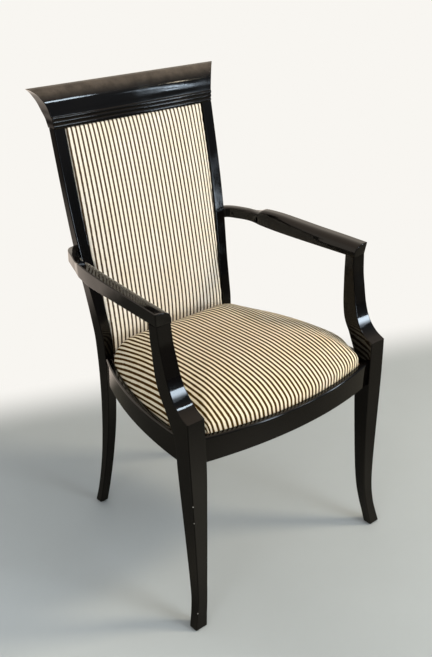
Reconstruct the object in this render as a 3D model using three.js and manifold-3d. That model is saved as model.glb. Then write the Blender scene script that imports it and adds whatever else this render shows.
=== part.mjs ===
// Klismos armchair: lacquered beech frame with sabre legs, a coved and reeded crest rail,
// curved arms, a domed slip seat and an upholstered back panel.
// Millimetres, +Z up, front towards -Y, feet on Z = 0. The sitter's left is +X.
import * as THREE from 'three';
import { mergeVertices } from 'three/addons/utils/BufferGeometryUtils.js';
import Module from 'manifold-3d';

const wasm = await Module();
wasm.setup();

// Overall sizes
const overallHeight = 970;
const frontReach = 276;
const backReach = 288;
const fitGap = 0.3;
const cutOverrun = 5;

// Heights of the main joints
const railTop = 416;
const railDepth = 55;
const legJointHeight = 440;
const shoulderHeight = 461;
const armUnderside = 629;
const crestHeight = 78;
const crestBase = overallHeight - crestHeight;

// Front legs and the arm posts on them
const legShoulderHalf = 271;
const frontLegWidth = 41;
const frontLegDepth = 41;
const postFrontReach = 174;
const postWidth = 33;
const postDepth = 25;
const postTopHalf = 277;

// Rear legs, which run on up as the back stiles
const stileTopHalf = 206;
const rearLegWidth = 26;
const rearLegDepth = 32;
const legEdgeRadius = 2.5;

// Arms
const armWidth = 35.5;
const armHeight = 33.5;
const armOuterLean = 4;
const neckWidth = 18;
const neckHeight = 26;
const neckLift = 5.5;
const armTipLean = 4.5;

// Crest rail
const crestTipHalf = 241;
const crestSetIn = 1.7;
const crestThickness = 24;
const reedBandHeight = 24;
const reedCount = 3;
const reedProud = 1.8;
const crestTipWall = 13;

// Seat rails
const railThickness = 22;
const railLedge = 12;
const railBeadRadius = 4;
const railArch = 6;
const frontBow = 34;
const sideBow = 22;
const frontSetIn = 7;
const sideSetIn = 8;
const tenonThickness = 8;
const tenonHeight = 34;
const tenonLength = 13;

// Seat
const boardThickness = 10.4;
const liningThickness = 0.8;
const seatClearance = 1.1;
const cushionRise = 62;
const coverThickness = 1.6;
const ventRadius = 15;
const backClearance = 9;
const cornerSetIn = 14;
const cornerRun = 47;

// Back panel
const panelThickness = 6;
const panelCrown = 12;
const panelSetIn = 6;
const panelEdge = 3.4;
const panelClearance = 0.6;
const panelBottom = 426;
const rearCoverThickness = 2;
const rearCoverCrown = 2.5;
const backRailBottom = 424;
const backRailHeight = 48;

// Corner blocks, cleat, screws, dowels and glides
const blockLeg = 66;
const blockHeight = 34;
const cleatReach = 31;
const cleatHeight = 24;
const screwRadius = 2;
const screwHeadRadius = 4.2;
const screwHeadHeight = 2.4;
const screwLength = 36;
const screwBite = 13;
const seatScrewBite = 7;
const dowelRadius = 4;
const dowelLength = 34;
const armDowelLength = 26;
const glideRadius = 7.5;
const glideThickness = 2.5;
const glidePinRadius = 1.4;
const glidePinLength = 12;

// Facet counts
const rearLegSteps = 32;
const frontLegSteps = 18;
const postSteps = 15;
const armSteps = 28;
const railSteps = 12;
const cornerSteps = 2;
const archSteps = 10;
const reedSteps = 4;
const coveSteps = 16;
const outlineSteps = 10;
const panelSteps = 12;
const padSteps = 14;
const roundSteps = 10;

// Finishes
const lacquer = { color: 0x0b0a0a, roughness: 0.12, metalness: 0 };
const beech = { color: 0xc9a375, roughness: 0.7, metalness: 0 };
const plywood = { color: 0xb98f5e, roughness: 0.75, metalness: 0 };
const polyFoam = { color: 0xe6d9ae, roughness: 0.95, metalness: 0 };
const stripedCloth = { color: 0xd9cdb2, roughness: 0.85, metalness: 0 };
const blackLining = { color: 0x24211f, roughness: 0.95, metalness: 0 };
const zincSteel = { color: 0x9b9ca0, roughness: 0.35, metalness: 0.9 };
const nylon = { color: 0x1c1c1c, roughness: 0.5, metalness: 0 };

// Rear leg rows: height, outer half width, width, centre set-back and depth, each as a share of
// overallHeight, stileTopHalf, rearLegWidth, backReach and rearLegDepth
const rearLegShares = [
  [0.000, 0.835, 0.81, 0.726, 0.60],
  [0.062, 0.840, 0.81, 0.661, 0.55],
  [0.155, 0.849, 0.82, 0.587, 0.62],
  [0.258, 0.859, 0.84, 0.535, 0.81],
  [0.361, 0.868, 0.86, 0.518, 0.92],
  [0.464, 0.881, 0.89, 0.531, 1.00],
  [0.515, 0.896, 0.91, 0.562, 0.94],
  [0.567, 0.917, 0.94, 0.599, 0.84],
  [0.670, 0.964, 1.00, 0.670, 0.68],
  [0.773, 0.988, 1.00, 0.743, 0.60],
  [0.920, 1.000, 1.00, 0.854, 0.59],
];

// Front leg rows: height, outer half width, width, front reach and depth, each as a share of
// shoulderHeight, legShoulderHalf, frontLegWidth, frontReach and frontLegDepth
const frontLegShares = [
  [0.000, 1.018, 0.70, 1.000, 0.50],
  [0.065, 0.989, 0.63, 0.982, 0.51],
  [0.130, 0.965, 0.59, 0.965, 0.56],
  [0.216, 0.954, 0.62, 0.947, 0.63],
  [0.325, 0.955, 0.69, 0.937, 0.71],
  [0.541, 0.969, 0.83, 0.928, 0.86],
  [0.758, 0.986, 0.97, 0.920, 0.99],
  [0.890, 0.996, 1.00, 0.912, 1.02],
  [1.000, 1.000, 0.98, 0.906, 1.54],
];

// Post rows above the shoulder: height share of the post, then how far the front face, the back
// face, the outer face and the width have gone from their shoulder to their top values
const postShares = [
  [0.000, 0.000, 0.00, 0.00, 0.00],
  [0.012, 0.064, 0.03, 0.00, 0.00],
  [0.048, 0.229, 0.11, 0.00, 0.02],
  [0.108, 0.400, 0.29, 0.00, 0.08],
  [0.169, 0.522, 0.45, 0.00, 0.20],
  [0.229, 0.606, 0.58, 0.02, 0.40],
  [0.300, 0.675, 0.69, 0.06, 0.65],
  [0.420, 0.764, 0.80, 0.18, 0.85],
  [0.590, 0.853, 0.88, 0.40, 0.93],
  [0.770, 0.943, 0.95, 0.68, 0.97],
  [1.000, 1.000, 1.00, 1.00, 1.00],
];

// Arm rows from the stile to the front: reach along Y as a share of backReach, then how far the
// centre has gone from stile to post, the width from neck to pad, the underside from the pad's
// level to the neck's, and the top as a share of armHeight
const armShares = [
  [0.672, 0.000, 0.00, 0.75, 0.830],
  [0.672, 0.200, 0.00, 0.75, 0.830],
  [0.660, 0.318, 0.00, 0.80, 0.840],
  [0.628, 0.417, 0.00, 0.88, 0.860],
  [0.573, 0.503, 0.00, 0.95, 0.880],
  [0.490, 0.622, 0.02, 1.00, 0.870],
  [0.430, 0.689, 0.12, 0.86, 0.830],
  [0.385, 0.725, 0.36, 0.70, 0.880],
  [0.345, 0.747, 0.60, 0.53, 1.010],
  [0.208, 0.808, 0.80, 0.12, 1.020],
  [0.035, 0.852, 0.90, 0.00, 0.965],
  [-0.188, 0.900, 0.92, 0.00, 0.900],
  [-0.424, 0.958, 0.92, 0.00, 0.850],
  [-0.604, 1.000, 0.90, 0.00, 0.800],
];
const armFlatShare = 0.2;
const neckRoundShare = 0.16;
const padRoundShare = 0.8;

// Cove of the crest rail: height share of the rail, share of the way out to the tip
const coveShares = [
  [0.00, 0.00],
  [0.10, 0.03],
  [0.23, 0.06],
  [0.36, 0.12],
  [0.49, 0.18],
  [0.62, 0.27],
  [0.74, 0.40],
  [0.87, 0.58],
  [0.97, 0.84],
  [1.00, 1.00],
];

// Back of the crest rail: height share of the rail, share of the way out to backReach
const crestBackShares = [
  [0.00, 0.00],
  [0.23, 0.22],
  [0.49, 0.62],
  [0.74, 0.88],
  [0.87, 1.00],
  [0.95, 0.96],
  [0.98, 0.82],
  [1.00, 0.58],
];

// Cushion rings: size share of the seat outline, rise share, centre share of the seat's depth
const cushionShares = [
  [1.000, 0.00, 0.92],
  [1.000, 0.13, 0.92],
  [0.998, 0.27, 0.92],
  [0.972, 0.44, 0.92],
  [0.920, 0.61, 0.90],
  [0.840, 0.75, 0.86],
  [0.700, 0.88, 0.78],
  [0.500, 0.96, 0.66],
  [0.300, 0.99, 0.58],
  [0.120, 1.00, 0.55],
];

// Places of a block's screws as shares of its leg, measured from the chair leg's inner corner
const railScrewShare = 0.5;
const seatScrewShare = 0.22;
const ventSpreadShare = 0.5;

// Smooth value through a table of [position, value] rows (cubic Hermite with chord slopes)
function smooth(rows, position) {
  const last = rows.length - 1;
  if (position <= rows[0][0]) return rows[0][1];
  if (position >= rows[last][0]) return rows[last][1];
  const slope = (row) => {
    const before = Math.max(row - 1, 0);
    const after = Math.min(row + 1, last);
    return (rows[after][1] - rows[before][1]) / (rows[after][0] - rows[before][0]);
  };
  const low = rows.findIndex((row) => row[0] > position) - 1;
  const span = rows[low + 1][0] - rows[low][0];
  const t = (position - rows[low][0]) / span;
  const ends = (1 + 2 * t) * (1 - t) ** 2 * rows[low][1] + t ** 2 * (3 - 2 * t) * rows[low + 1][1];
  const bends = t * (1 - t) ** 2 * slope(low) - t ** 2 * (1 - t) * slope(low + 1);
  return ends + bends * span;
}

function column(table, index, share) {
  return smooth(table.map((row) => [row[0], row[index]]), share);
}

function mix(from, to, share) {
  return from + (to - from) * share;
}

function spread(from, to, steps) {
  return Array.from({ length: steps + 1 }, (_, i) => mix(from, to, i / steps));
}

function at(x, y, z) {
  return new THREE.Vector3(x, y, z);
}

function inPlan(x, y) {
  return new THREE.Vector2(x, y);
}

// Closed skins
function closedGeometry(positions, triangles) {
  const normal = new THREE.Vector3();
  const volume = triangles.reduce((sum, [i, j, k]) => (
    sum + positions[i].dot(normal.crossVectors(positions[j], positions[k]))
  ), 0);
  const outward = volume < 0 ? triangles.map(([i, j, k]) => [i, k, j]) : triangles;
  const geometry = new THREE.BufferGeometry();
  const flat = positions.flatMap((point) => [point.x, point.y, point.z]);
  geometry.setAttribute('position', new THREE.Float32BufferAttribute(flat, 3));
  geometry.setIndex(outward.flat());
  return geometry;
}

// Skin over a row of rings with equal point counts, closed by caps of the anticlockwise outline
function loft(rings, outline) {
  const count = outline.length;
  const triangles = [];
  for (let ring = 0; ring < rings.length - 1; ring += 1) {
    for (let i = 0; i < count; i += 1) {
      const j = (i + 1) % count;
      const low = ring * count;
      const high = low + count;
      triangles.push([low + i, low + j, high + j], [low + i, high + j, high + i]);
    }
  }
  const top = (rings.length - 1) * count;
  const caps = THREE.ShapeUtils.triangulateShape(outline, []);
  for (const [i, j, k] of caps) {
    triangles.push([i, k, j], [top + i, top + j, top + k]);
  }
  return closedGeometry(rings.flat(), triangles);
}

// Solids for cuts and joins
function toSolid(geometry) {
  const plain = geometry.clone();
  plain.deleteAttribute('normal');
  plain.deleteAttribute('uv');
  const merged = mergeVertices(plain, fitGap / 1000);
  return new wasm.Manifold(new wasm.Mesh({
    numProp: 3,
    vertProperties: new Float32Array(merged.attributes.position.array),
    triVerts: new Uint32Array(merged.index.array),
  }));
}

function toGeometry(solid) {
  const mesh = solid.getMesh();
  const geometry = new THREE.BufferGeometry();
  geometry.setAttribute('position', new THREE.Float32BufferAttribute(mesh.vertProperties, 3));
  geometry.setIndex(Array.from(mesh.triVerts));
  return geometry;
}

function cut(geometry, tools) {
  return toGeometry(tools.reduce((solid, tool) => solid.subtract(toSolid(tool)), toSolid(geometry)));
}

function join(geometry, others) {
  return toGeometry(others.reduce((solid, other) => solid.add(toSolid(other)), toSolid(geometry)));
}

function mirrored(geometry) {
  return toGeometry(toSolid(geometry).mirror([1, 0, 0]));
}

// Basic shapes
function roundedRectangle(width, depth, radius) {
  const points = [];
  const corners = [[1, 1], [-1, 1], [-1, -1], [1, -1]];
  corners.forEach(([alongX, alongY], quarter) => {
    for (let i = 0; i <= cornerSteps; i += 1) {
      const angle = (quarter + i / cornerSteps) * Math.PI / 2;
      const x = alongX * (width / 2 - radius) + radius * Math.cos(angle);
      const y = alongY * (depth / 2 - radius) + radius * Math.sin(angle);
      points.push(inPlan(x, y));
    }
  });
  return points;
}

function rectangle(left, right, front, back) {
  return [inPlan(left, front), inPlan(right, front), inPlan(right, back), inPlan(left, back)];
}

function boxAt(size, centre) {
  return new THREE.BoxGeometry(...size).translate(...centre);
}

function slab(outline, bottom, thickness) {
  const shape = new THREE.Shape(outline);
  const settings = { depth: thickness, bevelEnabled: false };
  return new THREE.ExtrudeGeometry(shape, settings).translate(0, 0, bottom);
}

// Turned piece from a [radius, distance] profile, stood along an axis from a start point
function turned(profile, start, axis) {
  const points = profile.map(([radius, distance]) => inPlan(radius, distance));
  const geometry = new THREE.LatheGeometry(points, roundSteps);
  const turn = new THREE.Quaternion().setFromUnitVectors(at(0, 1, 0), axis);
  return toGeometry(toSolid(geometry.applyQuaternion(turn).translate(start.x, start.y, start.z)));
}

function rod(radius, length, start, axis) {
  return turned([[0, 0], [radius, 0], [radius, length], [0, length]], start, axis);
}

// Rear leg and stile: one piece sawn to a sabre curve below the seat and raked above it
function rearLegAt(height) {
  const share = height / overallHeight;
  const outer = stileTopHalf * column(rearLegShares, 1, share);
  const width = rearLegWidth * column(rearLegShares, 2, share);
  const centre = backReach * column(rearLegShares, 3, share);
  const depth = rearLegDepth * column(rearLegShares, 4, share);
  return { outer, inner: outer - width, front: centre - depth / 2, back: centre + depth / 2 };
}

function frontLegAt(height) {
  const share = height / shoulderHeight;
  const outer = legShoulderHalf * column(frontLegShares, 1, share);
  const width = frontLegWidth * column(frontLegShares, 2, share);
  const front = -frontReach * column(frontLegShares, 3, share);
  const depth = frontLegDepth * column(frontLegShares, 4, share);
  return { outer, inner: outer - width, front, back: front + depth };
}

// Arm post: the front face sweeps back from the shoulder in a cove while the back face follows
function postAt(height) {
  if (height <= shoulderHeight) return frontLegAt(height);
  const foot = frontLegAt(shoulderHeight);
  const share = (height - shoulderHeight) / (armUnderside - shoulderHeight);
  const front = mix(foot.front, -postFrontReach, column(postShares, 1, share));
  const back = mix(foot.back, postDepth - postFrontReach, column(postShares, 2, share));
  const outer = mix(foot.outer, postTopHalf, column(postShares, 3, share));
  const width = mix(foot.outer - foot.inner, postWidth, column(postShares, 4, share));
  return { outer, inner: outer - width, front, back };
}

// Upright limb through the sections that a function gives at each height, grown by a gap
function limb(sectionAt, heights, grow) {
  const rings = heights.map((height) => {
    const { outer, inner, front, back } = sectionAt(height);
    const width = outer - inner + 2 * grow;
    const depth = back - front + 2 * grow;
    return roundedRectangle(width, depth, legEdgeRadius).map((point) => (
      at((outer + inner) / 2 + point.x, (front + back) / 2 + point.y, height)
    ));
  });
  return loft(rings, roundedRectangle(rearLegWidth, rearLegDepth, legEdgeRadius));
}

function rearLegBody(grow) {
  return limb(rearLegAt, spread(glideThickness, crestBase - fitGap, rearLegSteps), grow);
}

function frontLegBody(grow) {
  return limb(frontLegAt, spread(glideThickness, legJointHeight, frontLegSteps), grow);
}

function postBody() {
  const foot = [legJointHeight + fitGap, (legJointHeight + shoulderHeight) / 2];
  const lowest = spread(0, 1, postSteps).map((share) => share ** 2);
  const above = lowest.map((share) => mix(shoulderHeight, armUnderside - fitGap, share));
  return limb(postAt, [...foot, ...above], 0);
}

const rearLegTool = rearLegBody(fitGap);
const frontLegTool = frontLegBody(fitGap);
const legTools = [frontLegTool, mirrored(frontLegTool), rearLegTool, mirrored(rearLegTool)];

// Arm: a thin neck sweeps out of the stile, dips, then steps up into a wider pad.
// The outer side keeps a crisp edge and the inner side is rounded off
function armSection(width, bottom, top) {
  const widening = (width - neckWidth) / (armWidth - neckWidth);
  const drop = (top - bottom) * mix(neckRoundShare, padRoundShare, widening);
  const flatEnd = width * armFlatShare;
  const points = [
    inPlan(-width / 2, bottom),
    inPlan(width / 2, bottom),
    inPlan(width / 2 + armOuterLean * widening, top),
  ];
  for (let i = 0; i <= archSteps; i += 1) {
    const angle = Math.PI / 2 * (1 + i / archSteps);
    const x = flatEnd + (width / 2 + flatEnd) * Math.cos(angle);
    points.push(inPlan(x, top - drop + drop * Math.sin(angle)));
  }
  return points;
}

function armPath() {
  const stile = rearLegAt(armUnderside + neckLift + neckHeight / 2);
  const start = (stile.outer + stile.inner) / 2;
  const end = postTopHalf - postWidth / 2;
  const points = armShares.map(([reach, out]) => at(mix(start, end, out), backReach * reach, 0));
  return new THREE.CatmullRomCurve3(points, false, 'centripetal');
}

function armBody() {
  const path = armPath();
  const stretches = armShares.length - 1;
  const rows = armShares.map((row, i) => [i / stretches, ...row.slice(2)]);
  const rings = spread(0, 1, armSteps).map((share) => {
    const centre = path.getPoint(share);
    const ahead = path.getTangent(share);
    const width = mix(neckWidth, armWidth, column(rows, 1, share));
    const bottom = neckLift * column(rows, 2, share);
    const top = armHeight * column(rows, 3, share);
    const lean = armTipLean * Math.max(0, 1 - stretches * (1 - share));
    return armSection(width, bottom, top).map((point) => at(
      centre.x - ahead.y * point.x,
      centre.y + ahead.x * point.x - lean * (point.y / top) ** 2,
      armUnderside + point.y,
    ));
  });
  return loft(rings, armSection(armWidth, 0, armHeight));
}

// Everything on the inner side of the stile's outer face, across the root of the arm
function stileSide() {
  const wide = (height) => {
    const { outer, inner, front, back } = rearLegAt(height);
    return { outer, inner, front: front - armWidth, back: back + armWidth };
  };
  return limb(wide, [armUnderside - cutOverrun, armUnderside + armHeight + cutOverrun], fitGap);
}

// Crest rail: reeds along the foot, a cove above that rolls back to a thin tip, and flared ends.
// Its foot covers the tops of the stiles
const stileTop = rearLegAt(crestBase);

function crestAt(height) {
  const share = (height - crestBase) / crestHeight;
  const cove = smooth(coveShares, share);
  const reed = (height - crestBase) / reedBandHeight;
  const bulge = reed < 1 ? reedProud * Math.abs(Math.sin(Math.PI * reed * reedCount)) : 0;
  const foot = stileTop.front + crestThickness;
  return {
    half: mix(stileTop.outer - crestSetIn, crestTipHalf, cove),
    front: mix(stileTop.front, backReach - crestTipWall, cove) - bulge,
    back: mix(foot, backReach, smooth(crestBackShares, share)),
  };
}

function crestBody() {
  const reeds = spread(crestBase, crestBase + reedBandHeight, reedCount * reedSteps);
  const rise = crestHeight - reedBandHeight;
  const bends = spread(0, 1, coveSteps).slice(1).map((share) => overallHeight - rise * (1 - share) ** 1.5);
  const rings = [...reeds, ...bends].map((height) => {
    const { half, front, back } = crestAt(height);
    return rectangle(-half, half, front, back).map((point) => at(point.x, point.y, height));
  });
  return loft(rings, rectangle(-crestTipHalf, crestTipHalf, 0, crestThickness));
}

// Seat rails: bowed in plan, arched below, with a beaded ledge outside a rebate for the board
const railMiddle = railTop - railDepth / 2;
const boardBottom = railTop - boardThickness;
const rebateHeight = boardBottom - liningThickness - 2 * fitGap;
const frontLegAtRail = frontLegAt(railMiddle);
const rearLegAtRail = rearLegAt(railMiddle);
const rearRailFront = rearLegAtRail.back - railThickness;
const cushionBack = rearLegAtRail.front - backClearance;

function railSection(arch, grow) {
  const bottom = railTop - railDepth + arch - grow;
  const points = [
    inPlan(-grow, bottom),
    inPlan(railThickness + grow, bottom),
    inPlan(railThickness + grow, rebateHeight + grow),
    inPlan(railLedge + grow, rebateHeight + grow),
    inPlan(railLedge + grow, railTop + grow),
  ];
  const centre = inPlan(railBeadRadius - grow, railTop + grow - railBeadRadius);
  for (let i = 0; i <= cornerSteps + 1; i += 1) {
    const angle = Math.PI / 2 * (1 + i / (cornerSteps + 1));
    points.push(inPlan(
      centre.x + railBeadRadius * Math.cos(angle),
      centre.y + railBeadRadius * Math.sin(angle),
    ));
  }
  return points;
}

function frontRailFace(x) {
  const end = frontLegAtRail.front + frontSetIn;
  return end - frontBow * (1 - (x / frontLegAtRail.inner) ** 2);
}

function sideRailFace(y) {
  const share = (y - frontLegAtRail.back) / (rearLegAtRail.front - frontLegAtRail.back);
  const straight = mix(frontLegAtRail.outer - sideSetIn, rearLegAtRail.outer - fitGap, share);
  return straight + 4 * sideBow * share * (1 - share);
}

function frontRailBody(grow) {
  const half = frontLegAtRail.inner + cutOverrun;
  const rings = spread(-half, half, railSteps).map((x) => {
    const arch = railArch * (1 - (x / half) ** 2);
    return railSection(arch, grow).map((point) => at(x, frontRailFace(x) + point.x, point.y));
  });
  return loft(rings, railSection(0, grow));
}

function sideRailBody(grow) {
  const from = frontLegAtRail.back - cutOverrun;
  const to = rearLegAtRail.front + fitGap;
  const middle = (from + to) / 2;
  const rings = spread(from, to, railSteps).map((y) => {
    const arch = railArch * (1 - ((y - middle) / (to - middle)) ** 2);
    return railSection(arch, grow).map((point) => at(sideRailFace(y) - point.x, y, point.y));
  });
  return loft(rings, railSection(0, grow));
}

// Tenons, each with its root a little inside its rail
const tenonMiddle = (tenonLength - cutOverrun) / 2;
const backRailMiddle = backRailBottom + backRailHeight / 2;
const backRailTop = backRailBottom + backRailHeight;
const rearLegAtBackRail = rearLegAt(backRailMiddle);

function tenon([x, y, z], alongX, grow) {
  const length = tenonLength + cutOverrun + 2 * grow;
  const thickness = tenonThickness + 2 * grow;
  const height = tenonHeight + 2 * grow;
  return boxAt(alongX ? [length, thickness, height] : [thickness, length, height], [x, y, z]);
}

function frontRailTenon(grow) {
  const { inner } = frontLegAtRail;
  return tenon([inner + tenonMiddle, frontRailFace(inner) + railThickness / 2, railMiddle], true, grow);
}

function sideRailTenons(grow) {
  const front = sideRailFace(frontLegAtRail.back) - railThickness / 2;
  const back = sideRailFace(rearLegAtRail.front) - railThickness / 2;
  return [
    tenon([front, frontLegAtRail.back - tenonMiddle, railMiddle], false, grow),
    tenon([back, rearLegAtRail.front + tenonMiddle / 2, railMiddle], false, grow),
  ];
}

function rearRailTenon(grow) {
  const y = rearRailFront + railThickness / 2 + tenonThickness / 4;
  return tenon([rearLegAtRail.inner + tenonMiddle / 2, y, railMiddle], true, grow);
}

function backRailTenon(grow) {
  const back = rearLegAtBackRail.back - tenonThickness;
  return tenon([rearLegAtBackRail.inner + tenonMiddle, back, backRailMiddle], true, grow);
}

function rearRailBody() {
  const half = rearLegAtRail.inner + cutOverrun;
  const back = rearLegAtRail.back - 2 * fitGap;
  const bottom = railTop - railDepth;
  return slab(rectangle(-half, half, rearRailFront, back), bottom, rebateHeight - bottom);
}

// Back panel places: half width and the face of its board, which follow the stiles
function panelAt(height) {
  const stile = rearLegAt(height);
  return { half: stile.inner - panelClearance, face: stile.front + panelSetIn };
}

function raised(sectionAt, heights) {
  const rings = heights.map((height) => sectionAt(height).map((point) => at(point.x, point.y, height)));
  return loft(rings, sectionAt(heights[1]));
}

// Lower rail of the back, raked with the stiles, behind the foot of the upholstered panel
function backRailBody() {
  const section = (height) => {
    const half = rearLegAt(height).inner + cutOverrun;
    const front = panelAt(height).face + panelThickness + fitGap;
    return rectangle(-half, half, front, rearLegAt(height).back - 2 * fitGap);
  };
  return raised(section, spread(backRailBottom, backRailTop, 2));
}

// Seat outline inside the rails' ledges, drawn in by an inset, anticlockwise from the front left
function seatOutline(inset) {
  const frontHalf = frontLegAtRail.inner - cornerSetIn - inset;
  const frontFace = (x) => frontRailFace(x) + railLedge + inset;
  const sideFrom = frontLegAtRail.back + cornerRun + inset;
  const sideTo = cushionBack - railLedge - inset;
  const sideFace = (y) => sideRailFace(y) - railLedge - inset;
  const backHalf = rearLegAtRail.inner - railLedge / 2 - inset;
  const front = spread(-frontHalf, frontHalf, outlineSteps).map((x) => inPlan(x, frontFace(x)));
  const side = spread(sideFrom, sideTo, outlineSteps).map((y) => inPlan(sideFace(y), y));
  const right = [...side, inPlan(backHalf, cushionBack - inset)];
  const left = right.map((point) => inPlan(-point.x, point.y)).reverse();
  return [...front, ...right, ...left];
}

// Domed cushion: rings of the seat outline drawn in and lifted
function cushionBody(inset, bottom, lift) {
  const outline = seatOutline(inset);
  const nose = frontRailFace(0);
  const rings = cushionShares.map(([size, rise, place]) => {
    const centre = mix(nose, cushionBack, place);
    const height = rise > 0 ? railTop + cushionRise * rise + lift : bottom;
    return outline.map((point) => at(point.x * size, centre + (point.y - centre) * size, height));
  });
  return loft(rings, outline);
}

const boardInset = seatClearance + coverThickness + fitGap;

// Back pad section: nearly flat between rounded edges, the crown fading towards the foot and the top
function crownAt(height) {
  const share = (height - panelBottom) / (crestBase - panelBottom);
  return panelCrown * (1 - Math.abs(2 * share - 1) ** 2.4);
}

function padFront(half, height, lift) {
  const { face } = panelAt(height);
  return spread(-Math.PI / 2, Math.PI / 2, padSteps).map((angle) => {
    const across = Math.sin(angle);
    const depth = panelEdge + crownAt(height) * (1 - Math.abs(across) ** 8);
    return inPlan(half * across, face - depth - lift);
  });
}

const panelTop = crestBase - panelClearance;
const panelHeights = [
  ...spread(panelBottom, backRailTop, 2),
  ...spread(backRailTop, panelTop, panelSteps).slice(1),
];

function padBody(inset, lift, back, overrun) {
  const section = (height) => {
    const { half, face } = panelAt(height);
    const narrow = half - inset;
    return [...padFront(narrow, height, lift), inPlan(narrow, face + back), inPlan(-narrow, face + back)];
  };
  const heights = overrun
    ? [panelBottom - overrun, ...panelHeights, panelTop + overrun]
    : panelHeights;
  return raised(section, heights);
}

// Corner blocks: seen from the chair leg's inner corner, one way runs along the front or rear
// rail, the other along the side rail
const corners = {
  front: {
    away: 1,
    leg: frontLegAtRail,
    legFace: frontLegAtRail.back,
    crossFace: (x) => frontRailFace(x) + railThickness,
  },
  rear: {
    away: -1,
    leg: rearLegAtRail,
    legFace: rearLegAtRail.front,
    crossFace: () => rearRailFront,
  },
};
const blockTop = rebateHeight - fitGap;
const blockMiddle = blockTop - blockHeight / 2;

function crossPoint({ leg, crossFace, away }, reach, into) {
  const x = leg.inner - reach;
  return inPlan(x, crossFace(x) - away * into);
}

function sidePoint({ legFace, away }, reach, into) {
  const y = legFace + away * reach;
  return inPlan(sideRailFace(y) - railThickness + into, y);
}

function blockBody(corner) {
  const reaches = spread(0, blockLeg, 3);
  const cross = reaches.map((reach) => crossPoint(corner, reach, cutOverrun)).reverse();
  const side = reaches.map((reach) => sidePoint(corner, reach, cutOverrun));
  const inside = inPlan(side[0].x, cross[cross.length - 1].y);
  return slab([...cross, inside, ...side], blockTop - blockHeight, blockHeight);
}

// Screws of a corner: where each tip ends, which way it points and how long it is
function cornerScrews(corner) {
  const reach = blockLeg * railScrewShare;
  const near = blockLeg * seatScrewShare;
  const cross = crossPoint(corner, reach, screwBite);
  const side = sidePoint(corner, reach, screwBite);
  const seatX = corner.leg.inner - near;
  const seatY = corner.legFace + corner.away * near;
  const seatTip = boardBottom + seatScrewBite;
  const seatLength = seatTip - (blockTop - blockHeight) + screwHeadHeight;
  return {
    cross: { tip: at(cross.x, cross.y, blockMiddle), axis: at(0, -corner.away, 0), length: screwLength },
    side: { tip: at(side.x, side.y, blockMiddle), axis: at(1, 0, 0), length: screwLength },
    seat: { tip: at(seatX, seatY, seatTip), axis: at(0, 0, 1), length: seatLength },
  };
}

const frontScrews = cornerScrews(corners.front);
const rearScrews = cornerScrews(corners.rear);

function screwHead({ tip, axis, length }) {
  return tip.clone().addScaledVector(axis, -length);
}

function screwBody(screw) {
  const pointLength = 2 * screwRadius;
  const profile = [
    [0, 0],
    [screwHeadRadius, 0],
    [screwHeadRadius, screwHeadHeight],
    [screwRadius, screwHeadHeight],
    [screwRadius, screw.length - pointLength],
    [0, screw.length],
  ];
  return turned(profile, screwHead(screw), screw.axis);
}

// Hole for a screw, with open room behind its head
function screwHole(screw) {
  const headEnd = screwHeadHeight + fitGap;
  const holeEnd = screw.length + fitGap;
  const profile = [
    [0, -blockLeg],
    [screwHeadRadius + fitGap, -blockLeg],
    [screwHeadRadius + fitGap, headEnd],
    [screwRadius + fitGap, headEnd],
    [screwRadius + fitGap, holeEnd],
    [0, holeEnd],
  ];
  return turned(profile, screwHead(screw), screw.axis);
}

// Dowels: middle of each joint, the way the dowel runs and its length
function dowelPlaces() {
  const leg = frontLegAt(legJointHeight);
  const post = postAt(armUnderside);
  const neckMiddle = armUnderside + neckLift + neckHeight / 2;
  const stile = rearLegAt(neckMiddle);
  const crest = rearLegAt(crestBase);
  const below = rearLegAt(crestBase - dowelLength);
  const middleX = (section) => (section.outer + section.inner) / 2;
  const middleY = (section) => (section.front + section.back) / 2;
  const rake = at(middleX(crest) - middleX(below), middleY(crest) - middleY(below), dowelLength);
  return {
    post_dowel: { joint: at(middleX(leg), middleY(leg), legJointHeight), axis: at(0, 0, 1) },
    arm_dowel: { joint: at(middleX(post), middleY(post), armUnderside), axis: at(0, 0, 1) },
    neck_dowel: {
      joint: at(stile.outer, backReach * armShares[0][0], neckMiddle),
      axis: at(1, 0, 0),
      length: armDowelLength,
    },
    crest_dowel: { joint: at(middleX(crest), middleY(crest), crestBase), axis: rake.normalize() },
  };
}

function dowelBody({ joint, axis, length = dowelLength }, grow) {
  const start = joint.clone().addScaledVector(axis, -length / 2 - grow);
  return rod(dowelRadius + grow, length + 2 * grow, start, axis);
}

const dowels = dowelPlaces();
const dowelHoles = Object.fromEntries(
  Object.entries(dowels).map(([name, place]) => [name, dowelBody(place, fitGap)]),
);

// Glides: a disc under the foot and a pin up into it
function glidePlace(legAt) {
  const foot = legAt(glideThickness);
  return at((foot.outer + foot.inner) / 2, (foot.front + foot.back) / 2, 0);
}

function glideBody(place) {
  const profile = [
    [0, 0],
    [glideRadius, 0],
    [glideRadius, glideThickness - fitGap],
    [glidePinRadius, glideThickness - fitGap],
    [glidePinRadius, glidePinLength],
    [0, glidePinLength],
  ];
  return turned(profile, place, at(0, 0, 1));
}

function glideHole(place) {
  return rod(glidePinRadius + fitGap, glidePinLength + fitGap, place, at(0, 0, 1));
}

// Sub-parts of the frame
function frontLeg() {
  const cuts = [
    frontRailTenon(fitGap),
    sideRailTenons(fitGap)[0],
    dowelHoles.post_dowel,
    glideHole(glidePlace(frontLegAt)),
  ];
  return cut(frontLegBody(0), cuts);
}

function rearLeg() {
  const cuts = [
    sideRailTenons(fitGap)[1],
    rearRailTenon(fitGap),
    backRailTenon(fitGap),
    dowelHoles.neck_dowel,
    dowelHoles.crest_dowel,
    glideHole(glidePlace(rearLegAt)),
  ];
  return cut(rearLegBody(0), cuts);
}

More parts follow.
